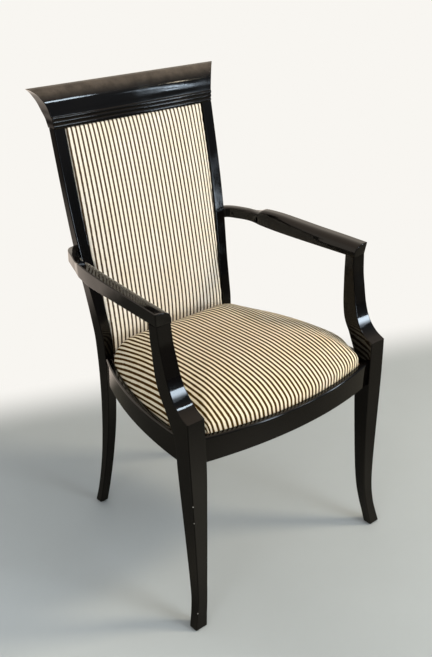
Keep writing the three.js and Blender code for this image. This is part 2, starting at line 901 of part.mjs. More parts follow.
function armPost() {
  return cut(postBody(), [dowelHoles.post_dowel, dowelHoles.arm_dowel]);
}

function arm() {
  return cut(armBody(), [stileSide(), dowelHoles.arm_dowel, dowelHoles.neck_dowel]);
}

function crestRail() {
  return cut(crestBody(), [dowelHoles.crest_dowel, mirrored(dowelHoles.crest_dowel)]);
}

function frontRail() {
  const hole = screwHole(frontScrews.cross);
  const body = cut(frontRailBody(0), [...legTools, hole, mirrored(hole)]);
  return join(body, [frontRailTenon(0), mirrored(frontRailTenon(0))]);
}

function sideRail() {
  const holes = [screwHole(frontScrews.side), screwHole(rearScrews.side)];
  return join(cut(sideRailBody(0), [...legTools, ...holes]), sideRailTenons(0));
}

function rearRail() {
  const hole = screwHole(rearScrews.cross);
  const body = cut(rearRailBody(), [...legTools, hole, mirrored(hole)]);
  return join(body, [rearRailTenon(0), mirrored(rearRailTenon(0))]);
}

function backRail() {
  return join(cut(backRailBody(), legTools), [backRailTenon(0), mirrored(backRailTenon(0))]);
}

function cornerBlock(name) {
  const screws = cornerScrews(corners[name]);
  const cross = name === 'front' ? frontRailBody(fitGap) : slab(
    rectangle(0, rearLegAtRail.outer, rearRailFront - fitGap, rearLegAtRail.back),
    railTop - railDepth,
    railDepth,
  );
  const cuts = [cross, sideRailBody(fitGap), ...legTools, ...Object.values(screws).map(screwHole)];
  return cut(blockBody(corners[name]), cuts);
}

// Cleat on the rear rail, between the rear blocks, that carries the back edge of the board
function rearCleat() {
  const half = rearLegAtRail.inner - blockLeg - cutOverrun;
  const outline = rectangle(-half, half, rearRailFront - cleatReach, rearRailFront - fitGap);
  return slab(outline, blockTop - cleatHeight, cleatHeight);
}

// Sub-parts of the seat
function seatScrewHoles() {
  const holes = [screwHole(frontScrews.seat), screwHole(rearScrews.seat)];
  return [...holes, ...holes.map(mirrored)];
}

function seatBoard() {
  const board = slab(seatOutline(boardInset), boardBottom, boardThickness - fitGap);
  const reach = frontLegAtRail.inner * ventSpreadShare;
  const vents = [-reach, 0, reach].map((x) => (
    rod(ventRadius, boardThickness + 2 * cutOverrun, at(x, 0, boardBottom - cutOverrun), at(0, 0, 1))
  ));
  return cut(board, [...vents, ...seatScrewHoles()]);
}

function seatFoam() {
  return cushionBody(boardInset, railTop, 0);
}

function seatCover() {
  const shell = cushionBody(seatClearance, boardBottom, coverThickness + fitGap);
  return cut(shell, [cushionBody(boardInset - fitGap, boardBottom - cutOverrun, fitGap)]);
}

function seatLining() {
  const bottom = boardBottom - fitGap - liningThickness;
  return cut(slab(seatOutline(boardInset), bottom, liningThickness), seatScrewHoles());
}

// Sub-parts of the back
function backBoard() {
  const section = (height) => {
    const { half, face } = panelAt(height);
    const narrow = half - coverThickness - fitGap;
    return rectangle(-narrow, narrow, face + fitGap, face + panelThickness - fitGap);
  };
  return raised(section, panelHeights);
}

function backFoam() {
  return padBody(coverThickness + fitGap, 0, 0, 0);
}

function backCover() {
  const shell = padBody(0, coverThickness + fitGap, panelThickness - fitGap, 0);
  return cut(shell, [padBody(coverThickness, fitGap, panelThickness + cutOverrun, cutOverrun)]);
}

function rearCover() {
  const section = (height) => {
    const { half, face } = panelAt(height);
    const front = face + panelThickness + fitGap;
    const back = spread(1, -1, archSteps / 2).map((across) => (
      inPlan(half * across, front + rearCoverThickness + rearCoverCrown * (1 - across ** 4))
    ));
    return [inPlan(-half, front), inPlan(half, front), ...back];
  };
  const bottom = backRailTop + fitGap;
  return raised(section, [bottom, ...panelHeights.filter((height) => height > bottom)]);
}

// Scene graph
const group = new THREE.Group();

function add(name, geometry, finish) {
  geometry.computeVertexNormals();
  const mesh = new THREE.Mesh(geometry, new THREE.MeshStandardMaterial(finish));
  mesh.name = name;
  group.add(mesh);
}

function addPair(name, geometry, finish) {
  add(`${name}_left`, geometry, finish);
  add(`${name}_right`, mirrored(geometry), finish);
}

addPair('front_leg', frontLeg(), lacquer);
addPair('arm_post', armPost(), lacquer);
addPair('arm', arm(), lacquer);
addPair('rear_leg', rearLeg(), lacquer);
add('crest_rail', crestRail(), lacquer);
add('front_rail', frontRail(), lacquer);
addPair('side_rail', sideRail(), lacquer);
add('rear_rail', rearRail(), lacquer);
add('back_rail', backRail(), lacquer);
addPair('front_corner_block', cornerBlock('front'), beech);
addPair('rear_corner_block', cornerBlock('rear'), beech);
add('rear_cleat', rearCleat(), beech);
add('seat_board', seatBoard(), plywood);
add('seat_foam', seatFoam(), polyFoam);
add('seat_cover', seatCover(), stripedCloth);
add('seat_lining', seatLining(), blackLining);
add('back_board', backBoard(), plywood);
add('back_foam', backFoam(), polyFoam);
add('back_cover', backCover(), stripedCloth);
add('rear_cover', rearCover(), stripedCloth);
for (const [name, screws] of Object.entries({ front: frontScrews, rear: rearScrews })) {
  addPair(`${name}_cross_screw`, screwBody(screws.cross), zincSteel);
  addPair(`${name}_side_screw`, screwBody(screws.side), zincSteel);
  addPair(`${name}_seat_screw`, screwBody(screws.seat), zincSteel);
}
for (const [name, place] of Object.entries(dowels)) {
  addPair(name, dowelBody(place, 0), beech);
}
addPair('front_glide', glideBody(glidePlace(frontLegAt)), nylon);
addPair('rear_glide', glideBody(glidePlace(rearLegAt)), nylon);

// The origin is on the floor below the middle of the chair's bounding box
const bounds = new THREE.Box3().setFromObject(group);
group.position.y = -(bounds.min.y + bounds.max.y) / 2;

export default group;
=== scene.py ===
"""Klismos armchair: black lacquered frame, domed striped seat and striped back, in a plain studio.

Metres, +Z up, front towards -Y, feet on Z = 0. The sitter's left is +X.
"""

import math

import bmesh
import bpy
import numpy as np
from mathutils import Matrix, Vector, noise
from mathutils.bvhtree import BVHTree


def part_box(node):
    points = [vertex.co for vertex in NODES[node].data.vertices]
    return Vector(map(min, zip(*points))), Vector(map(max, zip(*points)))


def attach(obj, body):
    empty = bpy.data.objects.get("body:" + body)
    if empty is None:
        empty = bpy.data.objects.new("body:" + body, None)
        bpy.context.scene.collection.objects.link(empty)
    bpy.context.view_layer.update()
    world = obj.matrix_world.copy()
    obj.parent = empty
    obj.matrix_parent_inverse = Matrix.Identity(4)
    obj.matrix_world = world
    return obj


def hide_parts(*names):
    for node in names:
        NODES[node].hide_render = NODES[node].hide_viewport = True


bl_info = {
    "name": "Klismos armchair",
    "version": (1, 0, 0),
    "blender": (4, 5, 0),
    "location": "View3D > Sidebar > Chair",
    "description": "Builds the looks of a lacquered klismos armchair round its packed frame",
    "category": "Add Mesh",
}

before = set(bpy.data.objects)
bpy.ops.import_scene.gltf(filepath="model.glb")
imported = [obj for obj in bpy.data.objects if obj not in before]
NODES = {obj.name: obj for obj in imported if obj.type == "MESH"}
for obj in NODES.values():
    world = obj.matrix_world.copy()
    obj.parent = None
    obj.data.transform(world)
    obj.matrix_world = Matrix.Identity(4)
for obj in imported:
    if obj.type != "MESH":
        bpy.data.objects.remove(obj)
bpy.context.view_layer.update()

# Overall sizes and heights of the joints, in metres
OVERALL_HEIGHT = 0.970
FRONT_REACH = 0.276
BACK_REACH = 0.288
ORIGIN_SHIFT = -0.00427
FIT_GAP = 0.0003
RAIL_TOP = 0.416
RAIL_DEPTH = 0.055
SHOULDER_HEIGHT = 0.461
ARM_UNDERSIDE = 0.629
CREST_HEIGHT = 0.078
CREST_BASE = OVERALL_HEIGHT - CREST_HEIGHT
GLIDE_THICKNESS = 0.0025

# Members of the frame
LEG_SHOULDER_HALF = 0.271
FRONT_LEG = (0.041, 0.041)
POST_FRONT_REACH = 0.174
POST = (0.033, 0.025)
POST_TOP_HALF = 0.277
STILE_TOP_HALF = 0.206
REAR_LEG = (0.026, 0.032)
ARM_WIDTH = 0.0355
ARM_HEIGHT = 0.0335
ARM_OUTER_LEAN = 0.004
NECK_WIDTH = 0.018
NECK_HEIGHT = 0.026
NECK_LIFT = 0.0055
ARM_TIP_LEAN = 0.0045
CREST_TIP_HALF = 0.241
CREST_SET_IN = 0.0017
CREST_THICKNESS = 0.024
REED_BAND = 0.024
REED_COUNT = 3
REED_PROUD = 0.0018
CREST_TIP_WALL = 0.013
RAIL_THICKNESS = 0.022
RAIL_LEDGE = 0.012
BEAD_RADIUS = 0.004
RAIL_ARCH = 0.006
FRONT_BOW = 0.034
SIDE_BOW = 0.022
FRONT_SET_IN = 0.007
SIDE_SET_IN = 0.008
BACK_RAIL = (0.424, 0.048)

# How far a rail's ends run into the members that hold it
INTO_FRONT_LEG = 0.005
INTO_REAR_LEG = 0.002
REAR_RAIL_INTO_LEG = 0.004

# Easing of the feet and of the crest's top edge
FOOT_EASE = 0.0012
CREST_EASE = 0.0012

# How far from an eased corner the point stands that keeps the face next to it flat
FLAT_MARGIN = 0.0004

# Seat and back upholstery; the back's cloth turns down a little below its panel
BOARD_THICKNESS = 0.0104
LINING_THICKNESS = 0.0008
SEAT_CLEARANCE = 0.0011
CUSHION_RISE = 0.062
BACK_CLEARANCE = 0.009
CORNER_SET_IN = 0.014
CORNER_RUN = 0.047
PANEL_THICKNESS = 0.006
PANEL_CROWN = 0.012
PANEL_SET_IN = 0.006
PANEL_EDGE = 0.0034
PANEL_CLEARANCE = 0.0006
PANEL_BOTTOM = 0.426
CLOTH_TURN = 0.014
REAR_COVER = (0.002, 0.0025)
SEAT_STRIPE_SHIFT = 0.00505
SEAT_STRETCH = 1.02
BACK_STRIPE_SHIFT = -0.00245

# Pads: how far the cloth's face lies outside the foam, and in from the rails; how far the seat's corners
# are rounded; and the share of its swell by which a pad starts below its shape
COVER_LIFT = 0.0019
SEAT_EASE = 0.0006
SEAT_CORNER_ROUND = 0.009
SWELL_START = 0.8

# Height, outer half width, width, centre set-back and depth of the rear leg, as shares
REAR_LEG_SHARES = (
    (0.000, 0.835, 0.81, 0.726, 0.60),
    (0.062, 0.840, 0.81, 0.661, 0.55),
    (0.155, 0.849, 0.82, 0.587, 0.62),
    (0.258, 0.859, 0.84, 0.535, 0.81),
    (0.361, 0.868, 0.86, 0.518, 0.92),
    (0.464, 0.881, 0.89, 0.531, 1.00),
    (0.515, 0.896, 0.91, 0.562, 0.94),
    (0.567, 0.917, 0.94, 0.599, 0.84),
    (0.670, 0.964, 1.00, 0.670, 0.68),
    (0.773, 0.988, 1.00, 0.743, 0.60),
    (0.920, 1.000, 1.00, 0.854, 0.59),
)

# Height, outer half width, width, front reach and depth of the front leg, as shares
FRONT_LEG_SHARES = (
    (0.000, 1.018, 0.70, 1.000, 0.50),
    (0.065, 0.989, 0.63, 0.982, 0.51),
    (0.130, 0.965, 0.59, 0.965, 0.56),
    (0.216, 0.954, 0.62, 0.947, 0.63),
    (0.325, 0.955, 0.69, 0.937, 0.71),
    (0.541, 0.969, 0.83, 0.928, 0.86),
    (0.758, 0.986, 0.97, 0.920, 0.99),
    (0.890, 0.996, 1.00, 0.912, 1.02),
    (1.000, 1.000, 0.98, 0.906, 1.54),
)

# Height of the arm post, then how far its front, back, outer face and width have gone to the top
POST_SHARES = (
    (0.000, 0.000, 0.00, 0.00, 0.00),
    (0.012, 0.064, 0.03, 0.00, 0.00),
    (0.048, 0.229, 0.11, 0.00, 0.02),
    (0.108, 0.400, 0.29, 0.00, 0.08),
    (0.169, 0.522, 0.45, 0.00, 0.20),
    (0.229, 0.606, 0.58, 0.02, 0.40),
    (0.300, 0.675, 0.69, 0.06, 0.65),
    (0.420, 0.764, 0.80, 0.18, 0.85),
    (0.590, 0.853, 0.88, 0.40, 0.93),
    (0.770, 0.943, 0.95, 0.68, 0.97),
    (1.000, 1.000, 1.00, 1.00, 1.00),
)

# Arm from stile to front: reach, way out, widening, rise of the underside, top
ARM_SHARES = (
    (0.672, 0.000, 0.00, 0.75, 0.830),
    (0.672, 0.200, 0.00, 0.75, 0.830),
    (0.660, 0.318, 0.00, 0.80, 0.840),
    (0.628, 0.417, 0.00, 0.88, 0.860),
    (0.573, 0.503, 0.00, 0.95, 0.880),
    (0.490, 0.622, 0.02, 1.00, 0.870),
    (0.430, 0.689, 0.12, 0.86, 0.830),
    (0.385, 0.725, 0.36, 0.70, 0.880),
    (0.345, 0.747, 0.60, 0.53, 1.010),
    (0.208, 0.808, 0.80, 0.12, 1.020),
    (0.035, 0.852, 0.90, 0.00, 0.965),
    (-0.188, 0.900, 0.92, 0.00, 0.900),
    (-0.424, 0.958, 0.92, 0.00, 0.850),
    (-0.604, 1.000, 0.90, 0.00, 0.800),
)

# Arm section: where the round of its inner side starts, and how deep it goes at the neck and at the pad;
# then the rounding of the arm's front end, and how far out from the stile's middle the neck starts
ARM_FLAT_SHARE = 0.2
NECK_ROUND_SHARE = 0.16
PAD_ROUND_SHARE = 0.8
ARM_END_ROUND = 0.0024
ARM_ROOT = 0.006

# Crest rail: height, then how far its face and ends have gone back and out to the tip
COVE_SHARES = (
    (0.00, 0.00), (0.10, 0.03), (0.23, 0.06), (0.36, 0.12), (0.49, 0.18), (0.62, 0.27),
    (0.74, 0.40), (0.87, 0.58), (0.97, 0.84), (1.00, 1.00),
)
# Crest rail: height, then how far its back has gone to the tip
CREST_BACK_SHARES = (
    (0.00, 0.00), (0.23, 0.22), (0.49, 0.62), (0.74, 0.88), (0.87, 1.00), (0.95, 0.96),
    (0.98, 0.82), (1.00, 0.58),
)

# Cushion rings: size of the outline, rise, place of the centre from the nose to the back
CUSHION_SHARES = (
    (1.000, 0.00, 0.92),
    (1.000, 0.13, 0.92),
    (0.998, 0.27, 0.92),
    (0.972, 0.44, 0.92),
    (0.920, 0.60, 0.90),
    (0.840, 0.74, 0.86),
    (0.700, 0.875, 0.78),
    (0.500, 0.965, 0.66),
    (0.300, 0.99, 0.58),
    (0.120, 1.00, 0.55),
)

# Rise of the cushion's upright wall, as a share
CUSHION_WALL = 0.44

# How far above the rail the seat's cloth is held, and how near to its board and sides the back's is
SEAT_HELD = 0.006
BACK_HELD = (0.002, 0.003)

# Rows in which the seat's cloth is measured: from row to row, from spot to spot, and how far out
CLOTH_ROW = 0.004
CLOTH_SPOT = 0.0015
CLOTH_HALF_WIDTH = 0.252

# Dust cloth: how much further in than the seat its edge lies, and how far its middle sags
LINING_SET_IN = 0.0019
LINING_SAG = 0.0016

# Staples of the dust cloth: how far in their row runs, from one to the next, how much room the corner
# blocks get, and how far the crown stands below the cloth
STAPLE_INSET = 0.024
STAPLE_STEP = 0.027
STAPLE_ROOM = 0.008
STAPLE_DROP = 0.0011

# Small knocks in the lacquer of the sitter's right front leg: height and diameter; then how far in
# from the corner they lie, and how ragged they are
LEG_CHIPS = ((0.284, 0.0026), (0.246, 0.0020), (0.038, 0.0020))
CHIP_SET_IN = 0.0004
CHIP_RAGGED = 0.0026

# Between these heights the dust and the painted brownish sheen on top of the crest thicken
DUST_AND_SHEEN_HEIGHTS = (0.940, 0.968)

# Lamps that light the chair: spot, what they face, size, the setting of their power, colour
LAMPS = (
    ("lamp", (1.95, -1.58, 2.6), (0.0, 0.0, 0.5), (0.6, 0.6), "lamp_power", (1.0, 0.875, 0.68)),
    ("strip", (1.05, -2.35, 2.6), (0.0, 0.0, 0.5), (1.1, 0.5), "window_power", (0.95, 0.97, 1.0)),
    ("fill", (-2.6, -1.3, 1.9), (0.0, 0.0, 0.5), (1.3, 1.3), "fill_power", (0.94, 0.97, 1.0)),
    ("front", (0.6, -2.7, 1.05), (0.0, 0.25, 0.65), (1.0, 0.8), "front_power", (0.86, 0.93, 1.0)),
)

# Windows and a lamp that show only in the lacquer: pattern, spot, what they face, size, power, colour
MIRRORED_WINDOWS = (
    ("high_window", "plain", (1.333, -1.697, 2.66), (-0.15, 0.27, 0.95),
     (0.38, 0.16), 7.0, (0.74, 0.88, 1.0)),
    ("near_window", "fading", (0.40, -1.20, 0.90), (-0.257, -0.255, 0.47),
     (0.18, 0.52), 9.0, (0.74, 0.87, 1.0)),
    ("far_window", "fading", (0.754, -0.658, 0.79), (0.25, -0.22, 0.52),
     (0.12, 0.29), 3.4, (0.74, 0.87, 1.0)),
    ("cloudy_window", "cloudy", (1.945, -1.98, 1.88), (0.09, 0.27, 0.95),
     (0.25, 1.05), 40.0, (0.72, 0.86, 1.0)),
    ("small_lamp", "plain", (1.96, -1.56, 2.44), (0.129, 0.27, 0.94),
     (0.06, 0.14), 0.8, (1.0, 0.88, 0.66)),
)

# The floor turns into the pale background beyond a line on it: which way, and how far from the middle;
# then how far the floor reaches to each side
BACKDROP_WAY = (0.358, 0.934)
BACKDROP_FROM = 0.50
FLOOR_REACH = 14.0

# Camera: where it stands, what it looks at, and its roll in degrees
CAMERA_SPOT = (-1.18782, -1.37579, 1.34793)
CAMERA_AIM = (0.1637, 0.16543, 0.3658)
CAMERA_ROLL = 0.233


# Settings that a user would change

class LacquerSettings(bpy.types.PropertyGroup):
    """Black lacquer of the frame"""

    colour: bpy.props.FloatVectorProperty(
        name="Lacquer", description="Colour of the lacquer", subtype="COLOR", size=3,
        default=(0.0013, 0.0010, 0.0008), min=0.0, max=1.0)
    roughness: bpy.props.FloatProperty(
        name="Roughness", description="Roughness of the polished lacquer", default=0.045,
        min=0.0, max=1.0, subtype="FACTOR")
    arris: bpy.props.FloatProperty(
        name="Arris", description="Radius of the eased edges", default=0.0018,
        min=0.0002, max=0.006, unit="LENGTH")
    # Dust and a painted brownish sheen on the top of the crest, laid on in patches
    dust_and_sheen: bpy.props.FloatVectorProperty(
        name="Dust", description="Fine dust on the top of the crest rail", subtype="COLOR", size=3,
        default=(0.110, 0.088, 0.068), min=0.0, max=1.0)
    chip: bpy.props.FloatVectorProperty(
        name="Chips", description="Primer that shows in the small knocks", subtype="COLOR", size=3,
        default=(0.36, 0.34, 0.30), min=0.0, max=1.0)


class ClothSettings(bpy.types.PropertyGroup):
    """Striped cloth of the seat and the back"""

    # Painted light: the seat's ground is painted yellower for the warm light that falls on the seat
    cream: bpy.props.FloatVectorProperty(
        name="Ground", description="Cream ground of the seat's cloth", subtype="COLOR", size=3,
        default=(0.94, 0.85, 0.665), min=0.0, max=1.0)
    # Painted light: the back's ground is the same cloth, painted whiter for the brighter light on the back
    brightly_lit_back_cream: bpy.props.FloatVectorProperty(
        name="Ground of the back", description="Cream ground of the back's cloth", subtype="COLOR", size=3,
        default=(0.95, 0.88, 0.765), min=0.0, max=1.0)
    # Painted light: the seat's stripes are painted a warmer brown for the warm light on the seat
    stripe: bpy.props.FloatVectorProperty(
        name="Stripe", description="Dark brown stripes", subtype="COLOR", size=3,
        default=(0.040, 0.018, 0.002), min=0.0, max=1.0)
    period: bpy.props.FloatProperty(
        name="Stripe repeat", description="Distance from stripe to stripe", default=0.0101,
        min=0.002, max=0.1, unit="LENGTH")
    share: bpy.props.FloatProperty(
        name="Stripe share", description="Width of a stripe of the seat as a share of the repeat",
        default=0.475, min=0.05, max=0.95, subtype="FACTOR")
    # The back's stripes are drawn narrower than the seat's, which paints the back lighter for its brighter
    # light
    back_share: bpy.props.FloatProperty(
        name="Stripe share of the back", description="Width of a stripe of the back, which has faded more",
        default=0.40, min=0.05, max=0.95, subtype="FACTOR")
    # Painted light: the back's stripes are painted paler for the brighter light on the back
    brightly_lit_back_stripe: bpy.props.FloatVectorProperty(
        name="Stripe of the back", description="Faded stripes of the back", subtype="COLOR", size=3,
        default=(0.045, 0.027, 0.013), min=0.0, max=1.0)
    yarn: bpy.props.FloatProperty(
        name="Yarn", description="Distance from yarn to yarn", default=0.0008,
        min=0.0002, max=0.005, unit="LENGTH")


class PadSettings(bpy.types.PropertyGroup):
    """How the pads are stuffed"""

    voxel: bpy.props.FloatProperty(
        name="Grain of the cloth mesh", description="Voxel size of the mesh that is inflated",
        default=0.005, min=0.003, max=0.02, unit="LENGTH")
    pressure: bpy.props.FloatProperty(
        name="Pressure", description="Pressure inside the pads", default=4.0, min=0.0, max=50.0)
    seat_swell: bpy.props.FloatProperty(
        name="Seat swell", description="How far the seat may swell", default=0.0035,
        min=0.0, max=0.03, unit="LENGTH")
    back_swell: bpy.props.FloatProperty(
        name="Back swell", description="How far the back pad may swell", default=0.0025,
        min=0.0, max=0.03, unit="LENGTH")


class StageSettings(bpy.types.PropertyGroup):
    """Studio round the chair"""

    floor: bpy.props.FloatVectorProperty(
        name="Floor", description="Colour of the floor", subtype="COLOR", size=3,
        default=(0.475, 0.505, 0.50), min=0.0, max=1.0)
    background: bpy.props.FloatVectorProperty(
        name="Background", description="Colour behind the chair", subtype="COLOR", size=3,
        default=(0.94, 0.92, 0.88), min=0.0, max=1.0)
    lamp_power: bpy.props.FloatProperty(
        name="Warm lamp", description="Power of the warm lamp on the right", default=50.0,
        min=0.0, max=1000.0, subtype="POWER")
    window_power: bpy.props.FloatProperty(
        name="Cool lamp", description="Power of the cool lamp in front", default=16.0,
        min=0.0, max=1000.0, subtype="POWER")
    fill_power: bpy.props.FloatProperty(
        name="Fill light", description="Power of the large lamp on the left", default=16.0,
        min=0.0, max=1000.0, subtype="POWER")
    front_power: bpy.props.FloatProperty(
        name="Front light", description="Power of the low lamp that lights the back pad", default=30.0,
        min=0.0, max=1000.0, subtype="POWER")
    daylight: bpy.props.FloatProperty(
        name="Daylight", description="Strength of the even light from all round", default=0.48,
        min=0.0, max=10.0)
    bright_side: bpy.props.FloatProperty(
        name="Bright side", description="Brightness of what the lacquer mirrors from behind the chair",
        default=1.35, min=0.0, max=10.0)
    ceiling: bpy.props.FloatProperty(
        name="Ceiling", description="Brightness of the ceiling that the lacquer mirrors",
        default=1.3, min=0.0, max=10.0)
    dusk: bpy.props.FloatProperty(
        name="Dark side", description="Brightness of what the lacquer mirrors from in front",
        default=0.34, min=0.0, max=10.0)
    lens: bpy.props.FloatProperty(
        name="Lens", description="Focal length of the camera in millimetres", default=51.923,
        min=10.0, max=300.0)


# Numbers through tables

def smooth(rows, position):
    """Smooth value through (position, value) rows, by cubics whose slopes are those of the chords."""
    last = len(rows) - 1
    if position <= rows[0][0]:
        return rows[0][1]
    if position >= rows[last][0]:
        return rows[last][1]

    def slope(row):
        before, after = rows[max(row - 1, 0)], rows[min(row + 1, last)]
        return (after[1] - before[1]) / (after[0] - before[0])

    low = next(i for i, row in enumerate(rows) if row[0] > position) - 1
    span = rows[low + 1][0] - rows[low][0]
    t = (position - rows[low][0]) / span
    ends = (1 + 2 * t) * (1 - t) ** 2 * rows[low][1] + t ** 2 * (3 - 2 * t) * rows[low + 1][1]
    bends = t * (1 - t) ** 2 * slope(low) - t ** 2 * (1 - t) * slope(low + 1)
    return ends + bends * span


def column(table, index, share):
    """One column of a table of shares, at a share of its first column."""
    return smooth([(row[0], row[index]) for row in table], share)


def mix(start, end, share):
    """The value a share of the way from start to end."""
    return start + (end - start) * share


# Sections of the frame's members, as (outer, inner, front, back)

def rear_leg_at(height):
    """Rear leg and stile, which are one piece."""
    share = height / OVERALL_HEIGHT
    outer = STILE_TOP_HALF * column(REAR_LEG_SHARES, 1, share)
    centre = BACK_REACH * column(REAR_LEG_SHARES, 3, share) + ORIGIN_SHIFT
    depth = REAR_LEG[1] * column(REAR_LEG_SHARES, 4, share)
    inner = outer - REAR_LEG[0] * column(REAR_LEG_SHARES, 2, share)
    return outer, inner, centre - depth / 2, centre + depth / 2


def front_leg_at(height):
    """Front leg below its shoulder."""
    share = height / SHOULDER_HEIGHT
    outer = LEG_SHOULDER_HALF * column(FRONT_LEG_SHARES, 1, share)
    front = ORIGIN_SHIFT - FRONT_REACH * column(FRONT_LEG_SHARES, 3, share)
    inner = outer - FRONT_LEG[0] * column(FRONT_LEG_SHARES, 2, share)
    return outer, inner, front, front + FRONT_LEG[1] * column(FRONT_LEG_SHARES, 4, share)


def post_at(height):
    """Front leg, and above its shoulder the arm post with the cove on its front."""
    if height <= SHOULDER_HEIGHT:
        return front_leg_at(height)
    outer, inner, front, back = front_leg_at(SHOULDER_HEIGHT)
    share = (height - SHOULDER_HEIGHT) / (ARM_UNDERSIDE - SHOULDER_HEIGHT)
    top = ORIGIN_SHIFT - POST_FRONT_REACH
    width = mix(outer - inner, POST[0], column(POST_SHARES, 4, share))
    face = mix(outer, POST_TOP_HALF, column(POST_SHARES, 3, share))
    return (face, face - width, mix(front, top, column(POST_SHARES, 1, share)),
            mix(back, top + POST[1], column(POST_SHARES, 2, share)))


RAIL_MIDDLE = RAIL_TOP - RAIL_DEPTH / 2
BOARD_BOTTOM = RAIL_TOP - BOARD_THICKNESS
REBATE_HEIGHT = BOARD_BOTTOM - LINING_THICKNESS - 2 * FIT_GAP
FRONT_LEG_AT_RAIL = front_leg_at(RAIL_MIDDLE)
REAR_LEG_AT_RAIL = rear_leg_at(RAIL_MIDDLE)
REAR_RAIL_FRONT = REAR_LEG_AT_RAIL[3] - RAIL_THICKNESS
CUSHION_BACK = REAR_LEG_AT_RAIL[2] - BACK_CLEARANCE


def front_rail_face(x):
    """Place along Y of the front rail's bowed face."""
    end = FRONT_LEG_AT_RAIL[2] + FRONT_SET_IN
    return end - FRONT_BOW * (1 - (x / FRONT_LEG_AT_RAIL[1]) ** 2)


def side_rail_face(y):
    """Place along X of the side rail's bowed face."""
    share = (y - FRONT_LEG_AT_RAIL[3]) / (REAR_LEG_AT_RAIL[2] - FRONT_LEG_AT_RAIL[3])
    straight = mix(FRONT_LEG_AT_RAIL[0] - SIDE_SET_IN, REAR_LEG_AT_RAIL[0] - FIT_GAP, share)
    return straight + 4 * SIDE_BOW * share * (1 - share)


# Meshes

def eased_rectangle(width, depth, radius, inset=0.0, steps=5):
    """Points of a rectangle with eased corners; a point beside each keeps the faces between them flat."""
    radius = max(radius - inset, 0.0001)
    half_x, half_y = width / 2 - inset - radius, depth / 2 - inset - radius
    points = []
    for quarter, (sx, sy) in enumerate(((1, 1), (-1, 1), (-1, -1), (1, -1))):
        centre = np.array((sx * half_x, sy * half_y))
        turns = [np.array((math.cos(angle), math.sin(angle)))
                 for angle in ((quarter + i / steps) * math.pi / 2 for i in range(steps + 1))]
        spots = [centre + radius * turn for turn in turns]
        points.append(spots[0] - FLAT_MARGIN * turns[-1])
        points.extend(spots)
        points.append(spots[-1] - FLAT_MARGIN * turns[0])
    return points


def ring_mesh(name, rings, edge_angle=32):
    """A closed mesh through rings of equal point counts, capped at both ends."""
    count = len(rings[0])
    verts = [tuple(point) for ring in rings for point in ring]
    faces = []
    for ring in range(len(rings) - 1):
        low = ring * count
        for i in range(count):
            j = (i + 1) % count
            faces.append((low + i, low + j, low + count + j, low + count + i))
    top = (len(rings) - 1) * count
    faces.append(tuple(range(count))[::-1])
    faces.append(tuple(range(top, top + count)))
    mesh = bpy.data.meshes.new(name)
    mesh.from_pydata(verts, [], faces)
    return finished(mesh, edge_angle)


def finished(mesh, edge_angle=32):
    """The mesh with faces outwards and smooth shading that breaks at real edges."""
    bm = bmesh.new()
    bm.from_mesh(mesh)
    bmesh.ops.recalc_face_normals(bm, faces=bm.faces)
    if bm.calc_volume(signed=True) < 0:
        bmesh.ops.reverse_faces(bm, faces=bm.faces)
    bm.to_mesh(mesh)
    bm.free()
    mesh.shade_smooth()
    mesh.set_sharp_from_angle(angle=math.radians(edge_angle))
    return mesh


def mirrored(mesh, name):
    """A copy of the mesh for the other side of the chair."""
    other = mesh.copy()
    other.name = name
    other.transform(Matrix.Scale(-1, 4, (1, 0, 0)))
    return finished(other)


def place(mesh, name, finish, nodes):
    """Puts a finished mesh on the chair in the place of the named parts of its frame."""
    piece = bpy.data.objects.new(name, mesh)
    bpy.context.scene.collection.objects.link(piece)
    mesh.materials.clear()
    mesh.materials.append(finish)
    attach(piece, "root")
    if nodes:
        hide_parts(*nodes)
    return piece


def place_pair(mesh, name, finish, nodes):
    """Puts a mesh of the sitter's left side, and its mirror image, on the chair."""
    right = mirrored(mesh, name + "_right")
    place(mesh, name + "_left", finish, [node + "_left" for node in nodes])
    place(right, name + "_right", finish, [node + "_right" for node in nodes])


def evaluated_copy(piece, name):
    """A plain mesh of what the piece's modifiers make."""
    graph = bpy.context.evaluated_depsgraph_get()
    mesh = bpy.data.meshes.new_from_object(piece.evaluated_get(graph))
    mesh.name = name
    return mesh


def helper_object(name, mesh):
    """An object of the mesh that stays in the scene only until drop removes it."""
    helper = bpy.data.objects.new(name, mesh)
    bpy.context.scene.collection.objects.link(helper)
    return helper


def drop(helper):
    """Removes a helper object."""
    bpy.data.objects.remove(helper, do_unlink=True)


# Materials

